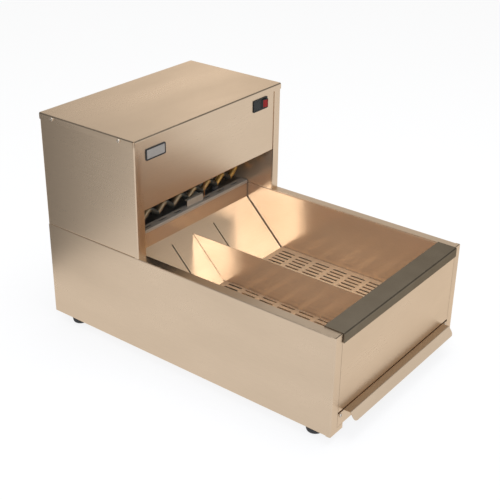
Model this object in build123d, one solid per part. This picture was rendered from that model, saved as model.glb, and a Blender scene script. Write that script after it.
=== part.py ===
"""Countertop chip warmer: a low bin of folded steel with a heated-air tower at its back.

Millimetres, +Z up. Sizes are worked out with X across the width from the middle, Y rearwards
from the front skin and Z up from the surface that it stands on. On export every piece moves
forward by the same distance, so that the origin is under the middle of the whole object.
"""
from build123d import *
from math import cos, radians, sin, tan
import os

# ---- overall ------------------------------------------------------------------------------
WIDTH = 457.0              # across the outer side skins
DEPTH = 711.0              # front skin to the back edge of the side skins
BODY_HEIGHT = 452.0        # lower edge of the side skins to the top of the cover
BASE_HEIGHT = 209.0        # lower edge of the side skins to the rim of the bin
TOWER_DEPTH = 254.0        # front of the tower to the back edge of the side skins

# ---- sheet metal --------------------------------------------------------------------------
SKIN = 1.2                 # outer skins
LINER = 1.0                # inner sheets
SKIN_BEND = 2.4            # outside bend radius of the skins
LINER_BEND = 1.8           # outside bend radius of the inner sheets
SEAM = 0.6                 # gap where two sheets lie edge to edge
GAP = 0.3                  # clearance between a moving piece and what carries it

# ---- base skins ---------------------------------------------------------------------------
HEM = 21.5                 # width of the rim and front flanges of the side skins
FLOOR_FLANGE = 40.5        # width of the side skins' bottom flange
PAN_LIFT = 10.8            # bottom pan above the lower edge of the side skins
REAR_RETURN = 25.0         # side flanges of the base's rear panel
REAR_LAP = 12.0            # base's rear panel behind the tower's rear panel
FRONT_HEM = 14.0           # bottom return of the front panel

# ---- front rail ---------------------------------------------------------------------------
RAIL_THICKNESS = 2.0
RAIL_DEPTH = 39.0          # from the front skin to the rail's back edge
RAIL_REACH = 3.0           # rail's front face ahead of the front skin
RAIL_DROP = 20.0           # height of the rail's front face
RAIL_BEND = 3.2
RAIL_END_GAP = 0.5

# ---- bin ----------------------------------------------------------------------------------
SCREEN_HEIGHT = 70.0       # screen ledges above the lower edge of the side skins
SCREEN_STEP = 5.0          # height of the screen's turned-down rim
SCREEN_SHEET = 1.2
LEDGE_WIDTH = 16.0         # ledges under the screen
LEDGE_DROP = 12.0
SLOPE_ANGLE = 45.0
SLOPE_RISE = 172.0         # top of the sloped back above the lower edge of the side skins
SLOPE_FLANGE = 15.0
AIR_WALL_SETBACK = 69.0    # air wall behind the front of the tower
AIR_LEDGE_RISE = 214.5     # air ledge above the lower edge of the side skins
AIR_LEDGE_DEPTH = 19.0
AIR_LEDGE_HEM = 3.5
AIR_SLOT_LENGTH = 24.0
AIR_SLOT_WIDTH = 5.0
AIR_LEDGE_LIP = 7.0        # turned-down front edge of the air ledge
CORNER_GAP = 3.0           # between the bin's back sheets and its side walls
WALL_FOOT = 15.0           # flanges at the top and bottom of the bin walls

# ---- divider ------------------------------------------------------------------------------
DIVIDER_SHEET = 1.2
DIVIDER_RISE = 160.0       # top of the divider above the lower edge of the side skins
DIVIDER_FOOT = 12.0
DIVIDER_SLOT = 3.0         # width of the slots that locate the divider
DIVIDER_PITCH = 68.5
DIVIDER_SLOT_COUNT = 3
SLOT_LOW = 86.0            # slot ends above the lower edge of the side skins
HOOK_LOW = 108.0           # divider's hook above the lower edge of the side skins
HOOK_TALL = 20.0
HOOK_REACH = 6.0

# ---- screen perforation -------------------------------------------------------------------
PERF_LENGTH = 36.0
PERF_WIDTH = 5.0
PERF_PITCH_X = 13.0
PERF_PITCH_Y = 46.0
PERF_MARGIN_X = 11.5       # least plain border at the sides and ends of the screen
PERF_MARGIN_Y = 6.0

# ---- crumb tray ---------------------------------------------------------------------------
TRAY_SIDE_GAP = 2.0        # tray inside the bin walls
TRAY_LENGTH = 415.0
TRAY_WALL = 24.0
RUNNER_LEG = 16.0
HANDLE_RISE = 41.0         # handle plate above the lower edge of the side skins
HANDLE_END_GAP = 19.0      # ends of the handle plate inside the bin walls
HANDLE_REACH = 15.0        # handle plate ahead of the front skin
LIP_LENGTH = 20.0
LIP_ANGLE = 55.0           # lip below horizontal
LIP_CORNER = 8.0
HANDLE_SCREW_INSET = 9.0   # handle screws inside the bin walls
HANDLE_SCREW_DROP = 8.0
HANDLE_SCREW_LENGTH = 4.5

# ---- feet ---------------------------------------------------------------------------------
FOOT_HEIGHT = 18.0
FOOT_DIAMETER = 38.0
FOOT_TAPER = 3.0           # foot's bottom narrower than its top
FOOT_EDGE = 2.0
FOOT_INSET_X = 25.5
FOOT_INSET_Y = 49.0
FOOT_SINK = 7.0            # screw head above the floor
M5_SHANK = 5.0
M5_HEAD = 10.0
M5_HEAD_TALL = 3.0
M5_NUT = 8.0
M5_NUT_TALL = 4.0

# ---- tower skins --------------------------------------------------------------------------
COVER_OVERHANG = 2.0
COVER_LIP = 12.7
COVER_BEND = 3.2           # outside bend radius of the cover
COVER_SCREW_DROP = 6.0     # cover screws below the top of the cover
COVER_SCREW_INSET = 37.0
TOWER_FLANGE = 18.0
TOWER_REAR_FLANGE = 24.0
TOWER_RETURN = 10.0        # web of the tower's vertical corner folds
OPENING_RISE = 304.0       # lower edge of the tower's front panel
FRONT_PANEL_LAP = 13.0     # front panel behind its side flanges
PANEL_HEM = 12.0
REAR_PANEL_LAP = 17.5
REAR_SCREW_ROWS = 3
REAR_SCREW_INSET = 21.0
LOUVRE_LENGTH = 70.0
LOUVRE_WIDTH = 4.5
LOUVRE_PITCH = 12.0
LOUVRES = 6
LOUVRE_X = 95.0
M4_SHANK = 4.0
M4_HEAD = 8.0
M4_HEAD_TALL = 2.2
M4_LENGTH = 9.0
HOLE_PLAY = 0.2            # clearance round a screw's shank

# ---- air system ---------------------------------------------------------------------------
DUCT_BACK = 11.0           # back of the plenum ahead of the side skins' back edge
MOTOR_DECK_RISE = 322.0
DECK_FLANGE = 15.0
BLOWER_Y_INSET = 83.0      # blower axis ahead of the side skins' back edge
WHEEL_RADIUS = 68.0
WHEEL_HEIGHT = 50.0
WHEEL_SHEET = 1.5
WHEEL_BLADES = 16
BLADE_LENGTH = 19.0
BLADE_SWEEP = 38.0
INTAKE_RADIUS = 46.0
INTAKE_RING_RADIUS = 62.0
INTAKE_RING_TALL = 15.0
RING_SHEET = 1.5
WHEEL_RUNNING_GAP = 3.0
HUB_RADIUS = 12.0
HUB_TALL = 20.0
SHAFT_RADIUS = 4.0
SHAFT_PLAY = 0.05
SHAFT_HOLE_RADIUS = 10.0
SHAFT_IN_MOTOR = 34.0
MOTOR_RADIUS = 42.0
MOTOR_HEIGHT = 62.0
MOTOR_FLANGE_RADIUS = 50.0
MOTOR_FLANGE_TALL = 3.0
MOTOR_SCREW_RADIUS = 46.0
MOTOR_SCREWS = 4
MOTOR_BOSS_RADIUS = 14.0
MOTOR_BOSS_TALL = 6.0

# ---- heating element ----------------------------------------------------------------------
ELEMENT_RADIUS = 6.35
ELEMENT_PITCH = 48.0
ELEMENT_ANGLE = 39.0       # slope of the element's legs
ELEMENT_END_SPACE = 14.0   # least space from the element's ends to the duct sides
ELEMENT_BEND = 10.0
ELEMENT_Y = 94.0           # element behind the front of the tower
ELEMENT_LIFT = 6.2         # element above the intake deck
ELEMENT_HEAD = 20.0        # element's ends above the motor deck
REST_LENGTH = 14.0
REST_DEPTH = 8.0
BUSHING_RADIUS = 10.0
BUSHING_TALL = 10.0

# ---- controls -----------------------------------------------------------------------------
SWITCH_INSET = 71.5        # switch from the right side skin
SWITCH_DROP = 30.5         # switch below the top of the cover
SWITCH_LENGTH = 48.0
SWITCH_TALL = 26.0
SWITCH_BEZEL = 1.8
SWITCH_FRAME = 3.2         # bezel's border round the rocker
SWITCH_BODY_DEPTH = 22.0
SWITCH_BODY_INSET = 2.2
ROCKER_TILT = 8.0          # either way from level
ROCKER_PROUD = 1.6         # rocker's middle ahead of its axis
ROCKER_BACK = 5.0
PIVOT_RADIUS = 1.2
PIVOT_LENGTH = 0.8
LENS_SHARE_START = 7.4     # lens begins this far from the rocker's middle
LENS_END_MARGIN = 1.5
LENS_DEPTH = 1.6
LENS_BORDER = 1.6
BADGE_INSET = 58.8         # name plate from the left side skin
BADGE_DROP = 36.0          # name plate below the top of the cover
BADGE_LENGTH = 55.0
BADGE_TALL = 23.5
BADGE_THICKNESS = 1.6
BADGE_CORNER = 3.0
BADGE_RIM = 2.6
BADGE_RECESS = 0.5
THERMOSTAT_SIZE = 38.0
THERMOSTAT_TALL = 40.0
THERMOSTAT_Y = 63.0        # thermostat behind the front of the tower
SPINDLE_RADIUS = 3.0
SPINDLE_TALL = 14.0
SPINDLE_FLAT = 1.2
BULB_RADIUS = 3.0
BULB_LENGTH = 40.0
CAPILLARY_RADIUS = 1.0
CAPILLARY_REACH = 9.0      # capillary beside the bulb's guard
CAPILLARY_BEND = 3.0
LIMIT_RADIUS = 9.0
LIMIT_TALL = 9.0
LIMIT_PLATE = 28.0
GUARD_X = 29.0
GUARD_LENGTH = 52.0
GUARD_TALL = 16.0
GUARD_DEPTH = 8.0
BLOCK_LENGTH = 70.0
BLOCK_DEPTH = 20.0
BLOCK_TALL = 24.0
BLOCK_POLES = 5
GLAND_INSET = 78.5         # gland from the right side skin
GLAND_DROP = 100.0         # gland below the top of the cover
GLAND_BORE = 5.5
GLAND_NECK = 10.0
GLAND_FLANGE = 14.0
GLAND_FLANGE_TALL = 5.0
GLAND_LENGTH = 16.0
WIRE_RADIUS = 2.0
WIRE_BEND = 9.0

# ---- places worked out from the sizes above -----------------------------------------------
HALF = WIDTH / 2
BIN_HALF = HALF - HEM
BOTTOM = FOOT_HEIGHT
RIM = BOTTOM + BASE_HEIGHT
TOP = BOTTOM + BODY_HEIGHT
COVER_UNDER = TOP - SKIN
PAN_UNDER = BOTTOM + PAN_LIFT
PAN_TOP = PAN_UNDER + LINER
TOWER_FRONT = DEPTH - TOWER_DEPTH
AIR_WALL_Y = TOWER_FRONT + AIR_WALL_SETBACK
PANEL_FACE = TOWER_FRONT + SKIN
BACK_WALL_Y = DEPTH - DUCT_BACK
FRONT_WALL_Y = RAIL_DEPTH + LINER
LEDGE_TOP = BOTTOM + SCREEN_HEIGHT
HANDLE_HALF = BIN_HALF - HANDLE_END_GAP
HANDLE_SCREW_X = BIN_HALF - HANDLE_SCREW_INSET
SCREEN_UNDER = LEDGE_TOP + GAP
SCREEN_TOP = SCREEN_UNDER + SCREEN_STEP
SLOPE_TOP = BOTTOM + SLOPE_RISE
SLOPE = tan(radians(SLOPE_ANGLE))
SLOPE_FOOT_Y = AIR_WALL_Y - (SLOPE_TOP - LEDGE_TOP) / SLOPE
AIR_LEDGE = BOTTOM + AIR_LEDGE_RISE
INTAKE_DECK = AIR_LEDGE - AIR_LEDGE_HEM
OPENING_TOP = BOTTOM + OPENING_RISE
MOTOR_DECK = BOTTOM + MOTOR_DECK_RISE
DECK_TOP = MOTOR_DECK + SKIN
DIVIDER_TOP = BOTTOM + DIVIDER_RISE
HANDLE_TOP = BOTTOM + HANDLE_RISE
TRAY_UNDER = PAN_TOP + LINER + GAP
TRAY_HALF = BIN_HALF - TRAY_SIDE_GAP
SKIRT_TOP = PAN_UNDER + GAP
LIP_OUT = LIP_LENGTH * cos(radians(LIP_ANGLE))
LIP_DOWN = LIP_LENGTH * sin(radians(LIP_ANGLE))
BLOWER_X = BIN_HALF / 2
BLOWER_Y = DEPTH - BLOWER_Y_INSET
WHEEL_UNDER = INTAKE_DECK + INTAKE_RING_TALL + WHEEL_RUNNING_GAP
ELEMENT_PLANE = TOWER_FRONT + ELEMENT_Y
ELEMENT_LOW = INTAKE_DECK + ELEMENT_LIFT + ELEMENT_RADIUS
ELEMENT_HIGH = ELEMENT_LOW + ELEMENT_PITCH / 2 * tan(radians(ELEMENT_ANGLE))
ELEMENT_WAVES = int(2 * (BIN_HALF - ELEMENT_END_SPACE) / ELEMENT_PITCH)
SWITCH_X = HALF - SWITCH_INSET
SWITCH_Z = TOP - SWITCH_DROP
BADGE_X = BADGE_INSET - HALF
BADGE_Z = TOP - BADGE_DROP
GUARD_Y = AIR_WALL_Y + AIR_LEDGE_DEPTH / 2
CAPILLARY_X = GUARD_X + GUARD_LENGTH / 2 + CAPILLARY_REACH
GLAND_X = HALF - GLAND_INSET
GLAND_Z = TOP - GLAND_DROP
PERF_COLUMNS = int(2 * (BIN_HALF - PERF_MARGIN_X) / PERF_PITCH_X)
PERF_ROWS = int((SLOPE_FOOT_Y - FRONT_WALL_Y - 2 * PERF_MARGIN_Y) / PERF_PITCH_Y)
REAR_FACE = DEPTH + SKIN
REAR_REACH = REAR_FACE + GLAND_FLANGE_TALL
MIDDLE_Y = (REAR_REACH - HANDLE_REACH - LIP_OUT) / 2
SIDES = {"left": -1, "right": 1}


# ---- shared shapes ------------------------------------------------------------------------
def block(x, y, z):
    """Box between two values on each axis."""
    low = (min(x), min(y), min(z))
    size = (abs(x[1] - x[0]), abs(y[1] - y[0]), abs(z[1] - z[0]))
    return Pos(*low) * Box(*size, align=(Align.MIN, Align.MIN, Align.MIN))


def post(x, y, z, radius):
    """Upright cylinder between two heights."""
    upright = Cylinder(radius, z[1] - z[0], align=(Align.CENTER, Align.CENTER, Align.MIN))
    return Pos(x, y, z[0]) * upright


def pin_across(x, y, z, radius):
    """Cylinder along X between two values of X."""
    lying = Rot(0, 90, 0) * Cylinder(radius, abs(x[1] - x[0]), align=(Align.CENTER, Align.CENTER, Align.MIN))
    return Pos(min(x), y, z) * lying


def pin_back(x, y, z, radius):
    """Cylinder along Y between two values of Y."""
    lying = Rot(-90, 0, 0) * Cylinder(radius, y[1] - y[0], align=(Align.CENTER, Align.CENTER, Align.MIN))
    return Pos(x, y[0], z) * lying


def folded(line, sheet, bend, side=Side.RIGHT):
    """Section of a folded sheet: its outline with round bends, and its thickness to one side."""
    path = FilletPolyline(*line, radius=bend) if len(line) > 2 else Line(*line)
    return make_face(offset(path, sheet, side=side).edges())


def along_x(section, x):
    """Stretch a section drawn in Y and Z between two values of X."""
    return extrude(Plane.YZ.offset(x[0]) * section, amount=x[1] - x[0])


def along_y(section, y):
    """Stretch a section drawn in X and Z between two values of Y."""
    return extrude(Plane.XZ.offset(-y[0]) * section, amount=-(y[1] - y[0]))


def along_z(section, z):
    """Stretch a section drawn in X and Y between two heights."""
    return extrude(Plane.XY.offset(z[0]) * section, amount=z[1] - z[0])


def past(low, high):
    """Range that runs a little past both ends, for a cutter."""
    return (low - SEAM, high + SEAM)


def on_side(left_piece, side):
    """A left-hand piece as it is, or its mirror image for the right."""
    return left_piece if side == "left" else mirror(left_piece, about=Plane.YZ)


def tube(points, radius, bend):
    """Round bar along straight runs joined by arcs."""
    path = FilletPolyline(*points, radius=bend)
    return sweep(Plane(path @ 0, z_dir=path % 0) * Circle(radius), path=path)


def spread(count, pitch):
    """Evenly spaced places about zero."""
    return [(i - (count - 1) / 2) * pitch for i in range(count)]


# ---- base skins ---------------------------------------------------------------------------
def side_panel(side):
    """Base side skin: floor flange, web and rim in one fold, and a front flange with a foot tab."""
    rim_section = [(-HALF + FLOOR_FLANGE, BOTTOM), (-HALF, BOTTOM), (-HALF, RIM), (-BIN_HALF, RIM)]
    web = along_y(folded(rim_section, SKIN, SKIN_BEND), (SKIN_BEND, DEPTH))
    corner = [(-HALF, TOWER_RETURN), (-HALF, 0), (-BIN_HALF, 0)]
    front = along_z(folded(corner, SKIN, SKIN_BEND, Side.LEFT), (BOTTOM, RIM))
    tab = block((-BIN_HALF, -HALF + FLOOR_FLANGE), (0, SKIN), (BOTTOM, PAN_UNDER - GAP))
    for y in foot_rows():
        web -= post(-HALF + FOOT_INSET_X, y, past(BOTTOM, BOTTOM + SKIN), M5_SHANK / 2 + HOLE_PLAY)
    return on_side(web + front + tab, side)


def base_rear_panel():
    """Rear skin of the base, with side flanges inside the side skins."""
    edge = HALF - SKIN
    start = DEPTH - REAR_RETURN
    line = [(-edge, start), (-edge, DEPTH), (edge, DEPTH), (edge, start)]
    skin = along_z(folded(line, SKIN, SKIN_BEND), (BOTTOM + SKIN_BEND, RIM - SKIN_BEND))
    middle = HALF - TOWER_REAR_FLANGE - SEAM
    return skin + block((-middle, middle), (DEPTH - SKIN, DEPTH), (RIM - SKIN_BEND, RIM + REAR_LAP))


def bottom_pan():
    """Closes the base from below, between the side skins and clear of their bottom flanges."""
    edge = HALF - SKIN
    low = BOTTOM + SKIN_BEND
    line = [(-edge, low), (-edge, PAN_TOP), (edge, PAN_TOP), (edge, low)]
    return along_y(folded(line, LINER, LINER_BEND), (SKIN_BEND + SEAM, DEPTH - REAR_RETURN))


def front_panel():
    """Front skin: bottom return, face and a top flange that carries the rail."""
    low = HANDLE_TOP + SEAM
    line = [(FRONT_HEM, low), (0, low), (0, RIM), (RAIL_DEPTH - SEAM, RIM)]
    edge = BIN_HALF - SEAM
    return along_x(folded(line, SKIN, SKIN_BEND), (-edge, edge))


def front_rail():
    """Dark rail over the front edge of the bin."""
    low = RIM + RAIL_THICKNESS - RAIL_DROP
    high = RIM + RAIL_THICKNESS
    line = [(-RAIL_REACH, low), (-RAIL_REACH, high), (RAIL_DEPTH, high)]
    edge = BIN_HALF - RAIL_END_GAP
    return along_x(folded(line, RAIL_THICKNESS, RAIL_BEND), (-edge, edge))


# ---- bin ----------------------------------------------------------------------------------
def bin_front_wall():
    """Front wall of the bin, hung under the front panel's top flange, with a ledge for the screen."""
    high = RIM - SKIN
    line = [(RAIL_DEPTH / 2, high), (FRONT_WALL_Y, high), (FRONT_WALL_Y, LEDGE_TOP),
            (FRONT_WALL_Y + LEDGE_WIDTH, LEDGE_TOP)]
    return along_x(folded(line, LINER, LINER_BEND), (-BIN_HALF, BIN_HALF))


def bin_wall(side):
    """Side wall of the bin, from the bottom pan to the rim and back to the plenum."""
    line = [(-BIN_HALF - WALL_FOOT, PAN_TOP), (-BIN_HALF, PAN_TOP), (-BIN_HALF, RIM - SKIN),
            (-BIN_HALF - WALL_FOOT, RIM - SKIN)]
    wall = along_y(folded(line, LINER, LINER_BEND, Side.LEFT), (TOWER_RETURN + SEAM, BACK_WALL_Y))
    return on_side(wall, side)


def divider_slots(z, y):
    """Cutters for the slots that locate the divider, through a sheet between two values of Y."""
    half = DIVIDER_SLOT / 2
    return [block((x - half, x + half), y, z) for x in spread(DIVIDER_SLOT_COUNT, DIVIDER_PITCH)]


def slope_y(z):
    """Where the face of the sloped back is at a height."""
    return AIR_WALL_Y - (SLOPE_TOP - z) / SLOPE


def sloped_back():
    """Sloped back of the bin, with a ledge for the screen and slots for the divider."""
    flange_y = AIR_WALL_Y + LINER
    bend_z = SLOPE_TOP + LINER * SLOPE
    line = [(SLOPE_FOOT_Y - LEDGE_WIDTH, LEDGE_TOP), (SLOPE_FOOT_Y, LEDGE_TOP), (flange_y, bend_z),
            (flange_y, bend_z + SLOPE_FLANGE)]
    edge = BIN_HALF - CORNER_GAP
    sheet = along_x(folded(line, LINER, LINER_BEND), (-edge, edge))
    low = BOTTOM + SLOT_LOW
    return sheet - divider_slots((low - LEDGE_DROP, SLOPE_TOP), (slope_y(low), slope_y(DIVIDER_TOP)))


def air_wall():
    """Upright wall above the slope, up to the air ledge."""
    edge = BIN_HALF - CORNER_GAP
    return block((-edge, edge), (AIR_WALL_Y, AIR_WALL_Y + LINER),
                 (SLOPE_TOP + 2 * LINER, AIR_LEDGE - LINER_BEND))


def air_ledge():
    """Slotted ledge under the hot-air mouth, with a lip over the air wall and a hem on the intake deck."""
    front = AIR_WALL_Y - LINER
    back = AIR_WALL_Y + AIR_LEDGE_DEPTH
    line = [(front, AIR_LEDGE - AIR_LEDGE_LIP), (front, AIR_LEDGE), (back, AIR_LEDGE), (back, INTAKE_DECK)]
    edge = BIN_HALF - CORNER_GAP
    ledge = along_x(folded(line, LINER, LINER_BEND), (-edge, edge))
    middle = AIR_WALL_Y + AIR_LEDGE_DEPTH / 2
    slots = Sketch() + [Pos(x, middle) * SlotOverall(AIR_SLOT_LENGTH, AIR_SLOT_WIDTH)
                        for x in spread(ELEMENT_WAVES, ELEMENT_PITCH)]
    return ledge - along_z(slots, past(AIR_LEDGE - LINER, AIR_LEDGE))


def screen_ledges():
    """Two angles on the bin walls under the sides of the screen."""
    line = [(-BIN_HALF, LEDGE_TOP - LEDGE_DROP), (-BIN_HALF, LEDGE_TOP), (-BIN_HALF + LEDGE_DROP, LEDGE_TOP)]
    ledge = along_y(folded(line, LINER, LINER_BEND),
                    (FRONT_WALL_Y + LEDGE_WIDTH + SEAM, SLOPE_FOOT_Y - LEDGE_WIDTH - SEAM))
    return ledge + mirror(ledge, about=Plane.YZ)


def floor_screen():
    """Slotted floor of the bin: a plate with a turned-down rim that stands on the ledges."""
    edge = BIN_HALF - SCREEN_SHEET
    x = (-edge, edge)
    y = (FRONT_WALL_Y + SCREEN_SHEET, SLOPE_FOOT_Y - SCREEN_SHEET)
    plate = block(x, y, (SCREEN_UNDER, SCREEN_TOP))
    inside_x = (-edge + SCREEN_SHEET, edge - SCREEN_SHEET)
    inside_y = (y[0] + SCREEN_SHEET, y[1] - SCREEN_SHEET)
    plate -= block(inside_x, inside_y, (SCREEN_UNDER, SCREEN_TOP - SCREEN_SHEET))
    middle = (y[0] + y[1]) / 2
    slots = Sketch() + [Pos(i, middle + j) * Rot(0, 0, 90) * SlotOverall(PERF_LENGTH, PERF_WIDTH)
                        for i in spread(PERF_COLUMNS, PERF_PITCH_X) for j in spread(PERF_ROWS, PERF_PITCH_Y)]
    return plate - along_z(slots, past(SCREEN_TOP - SCREEN_SHEET, SCREEN_TOP))


def divider():
    """Lift-out plate between the two halves of the bin, with a foot and a hook in the slope's slot."""
    under = SCREEN_TOP + GAP
    front = FRONT_WALL_Y + SCREEN_SHEET
    hook = BOTTOM + HOOK_LOW
    back = -2 * GAP
    outline = [(front, under), (slope_y(under) + back, under), (slope_y(hook) + back, hook),
               (slope_y(hook) + HOOK_REACH, hook),
               (slope_y(hook + HOOK_TALL) + HOOK_REACH, hook + HOOK_TALL),
               (slope_y(hook + HOOK_TALL) + back, hook + HOOK_TALL),
               (slope_y(DIVIDER_TOP) + back, DIVIDER_TOP), (front, DIVIDER_TOP)]
    half = DIVIDER_SHEET / 2
    plate = along_x(make_face(Polyline(*outline, close=True).edges()), (-half, half))
    foot = block((DIVIDER_SHEET / 2, DIVIDER_FOOT), (front, SLOPE_FOOT_Y), (under, under + DIVIDER_SHEET))
    return plate + foot


# ---- crumb tray ---------------------------------------------------------------------------
def tray_runner(side):
    """Angle on the bottom pan and bin wall that guides one side of the crumb tray."""
    line = [(-BIN_HALF, PAN_TOP + RUNNER_LEG), (-BIN_HALF, PAN_TOP), (-BIN_HALF + RUNNER_LEG, PAN_TOP)]
    section = folded(line, LINER, LINER_BEND, Side.LEFT)
    return on_side(along_y(section, (TOWER_RETURN + SEAM, SKIN + TRAY_LENGTH)), side)


def crumb_tray():
    """Shallow pan that catches crumbs under the screen."""
    y = (SKIN, SKIN + TRAY_LENGTH)
    pan = block((-TRAY_HALF, TRAY_HALF), y, (TRAY_UNDER, TRAY_UNDER + TRAY_WALL))
    pan -= block((-TRAY_HALF + LINER, TRAY_HALF - LINER), (y[0] + LINER, y[1] - LINER),
                 (TRAY_UNDER + LINER, TRAY_UNDER + TRAY_WALL))
    return pan - handle_screw_holes()


def tray_handle():
    """Face strip of the tray, folded out to a plate with a turned-down lip."""
    strip = [(SKIN, SKIRT_TOP), (SKIN, HANDLE_TOP)]
    grip = strip + [(-HANDLE_REACH, HANDLE_TOP), (-HANDLE_REACH - LIP_OUT, HANDLE_TOP - LIP_DOWN)]
    handle = along_x(folded(grip, SKIN, SKIN_BEND, Side.LEFT), (-HANDLE_HALF, HANDLE_HALF))
    edge = BIN_HALF - SEAM
    handle += block((-edge, edge), (0, SKIN), (SKIRT_TOP, HANDLE_TOP - SKIN_BEND))
    outer = -HANDLE_REACH - LIP_OUT / 2
    tips = [e for e in handle.edges() if abs(e.length - SKIN) < GAP and e.center().Y < outer]
    handle = fillet(tips, LIP_CORNER)
    return handle - handle_screw_holes()


def handle_screw_holes():
    """Cutters for the two handle screws."""
    z = HANDLE_TOP - HANDLE_SCREW_DROP
    radius = M4_SHANK / 2 + HOLE_PLAY
    return [pin_back(x, past(0, SKIN + LINER), z, radius) for x in (-HANDLE_SCREW_X, HANDLE_SCREW_X)]


def tray_handle_screws():
    """Two pan-head screws that hold the handle to the tray."""
    z = HANDLE_TOP - HANDLE_SCREW_DROP
    return [screw_from_front(x, 0, z, HANDLE_SCREW_LENGTH) for x in (-HANDLE_SCREW_X, HANDLE_SCREW_X)]


# ---- fasteners ----------------------------------------------------------------------------
def screw_from_front(x, face_y, z, length):
    """Pan-head screw driven towards +Y, its head on a face."""
    head = pin_back(x, (face_y - M4_HEAD_TALL, face_y), z, M4_HEAD / 2)
    head = fillet(head.edges().sort_by(Axis.Y)[0], M4_HEAD_TALL / 2)
    return head + pin_back(x, (face_y, face_y + length), z, M4_SHANK / 2)


def screw_from_back(x, face_y, z):
    """Pan-head screw driven towards -Y, its head on a face."""
    head = pin_back(x, (face_y, face_y + M4_HEAD_TALL), z, M4_HEAD / 2)
    head = fillet(head.edges().sort_by(Axis.Y)[-1], M4_HEAD_TALL / 2)
    return head + pin_back(x, (face_y - M4_LENGTH, face_y), z, M4_SHANK / 2)


def cover_screw_rows():
    """Y of the screws along each side of the cover."""
    return (TOWER_FRONT + COVER_SCREW_INSET, DEPTH - COVER_SCREW_INSET)


def cover_screws():
    """Four pan-head screws through the cover's side lips."""
    z = TOP - COVER_SCREW_DROP
    face = -HALF - COVER_OVERHANG
    screws = []
    for y in cover_screw_rows():
        head = pin_across((face - M4_HEAD_TALL, face), y, z, M4_HEAD / 2)
        head = fillet(head.edges().sort_by(Axis.X)[0], M4_HEAD_TALL / 2)
        screw = head + pin_across((face, face + M4_LENGTH), y, z, M4_SHANK / 2)
        screws += [screw, mirror(screw, about=Plane.YZ)]
    return screws


def cover_screw_holes(x):
    """Cutters for the cover screws through a sheet on both sides."""
    z = TOP - COVER_SCREW_DROP
    radius = M4_SHANK / 2 + HOLE_PLAY
    holes = [pin_across(past(*x), y, z, radius) for y in cover_screw_rows()]
    return holes + [mirror(hole, about=Plane.YZ) for hole in holes]


def rear_screw_places():
    """X and Z of the screws round the tower's rear panel."""
    low = RIM + REAR_SCREW_INSET
    high = TOP - COVER_LIP - REAR_SCREW_INSET
    rows = [low + i * (high - low) / (REAR_SCREW_ROWS - 1) for i in range(REAR_SCREW_ROWS)]
    x = HALF - (REAR_PANEL_LAP + TOWER_REAR_FLANGE) / 2 + SEAM
    return [(i * x, z) for i in (-1, 1) for z in rows]


def rear_panel_screws():
    """Pan-head screws that hold the tower's rear panel to the side flanges."""
    return [screw_from_back(x, REAR_FACE, z) for x, z in rear_screw_places()]


def rear_screw_holes(y):
    """Cutters for the rear panel's screws."""
    return [pin_back(x, past(*y), z, M4_SHANK / 2 + HOLE_PLAY) for x, z in rear_screw_places()]


def foot_rows():
    """Y of the front and rear feet."""
    return (FOOT_INSET_Y, DEPTH - FOOT_INSET_Y)


def foot_places():
    """X and Y of the four feet."""
    x = HALF - FOOT_INSET_X
    return [(-x, foot_rows()[0]), (x, foot_rows()[0]), (-x, foot_rows()[1]), (x, foot_rows()[1])]


def feet():
    """Four rubber feet: tapered discs with sunk holes for their screws."""
    disc = Cone(FOOT_DIAMETER / 2 - FOOT_TAPER, FOOT_DIAMETER / 2, FOOT_HEIGHT,
                align=(Align.CENTER, Align.CENTER, Align.MIN))
    disc = fillet(disc.edges().sort_by(Axis.Z)[0], FOOT_EDGE)
    disc -= post(0, 0, past(0, FOOT_HEIGHT), M5_SHANK / 2 + HOLE_PLAY)
    disc -= post(0, 0, (-SEAM, FOOT_SINK + M5_HEAD_TALL), M5_HEAD / 2 + 2 * HOLE_PLAY)
    return [Pos(x, y, 0) * disc for x, y in foot_places()]


def foot_screws():
    """Four screws, up through the feet and the bottom flanges."""
    head_top = FOOT_SINK + M5_HEAD_TALL
    nut_top = BOTTOM + SKIN + M5_NUT_TALL
    return [post(x, y, (FOOT_SINK, head_top), M5_HEAD / 2)
            + post(x, y, (head_top, nut_top + SKIN), M5_SHANK / 2)
            for x, y in foot_places()]


def foot_nuts():
    """Four hexagon nuts on the foot screws."""
    ring = RegularPolygon(M5_NUT / 2, 6, major_radius=False) - Circle(M5_SHANK / 2)
    low = BOTTOM + SKIN
    return [Pos(x, y, 0) * along_z(ring, (low, low + M5_NUT_TALL)) for x, y in foot_places()]


# ---- tower skins --------------------------------------------------------------------------
def tower_side(side):
    """Tower side skin with flanges on all four edges."""
    flange = -HALF + TOWER_FLANGE
    line = [(flange, RIM), (-HALF, RIM), (-HALF, COVER_UNDER), (flange, COVER_UNDER)]
    skin = along_y(folded(line, SKIN, SKIN_BEND), (TOWER_FRONT + SKIN_BEND, DEPTH - SKIN_BEND))
    front = [(-HALF, TOWER_FRONT + TOWER_RETURN), (-HALF, TOWER_FRONT), (-BIN_HALF, TOWER_FRONT)]
    rear = [(-HALF, DEPTH - TOWER_RETURN), (-HALF, DEPTH), (-HALF + TOWER_REAR_FLANGE, DEPTH)]
    skin += along_z(folded(front, SKIN, SKIN_BEND, Side.LEFT), (RIM, COVER_UNDER - SEAM))
    skin += along_z(folded(rear, SKIN, SKIN_BEND), (RIM, COVER_UNDER - SEAM))
    skin -= cover_screw_holes((-HALF, -HALF + SKIN))
    return on_side(skin - rear_screw_holes((DEPTH - SKIN, DEPTH)), side)


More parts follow.
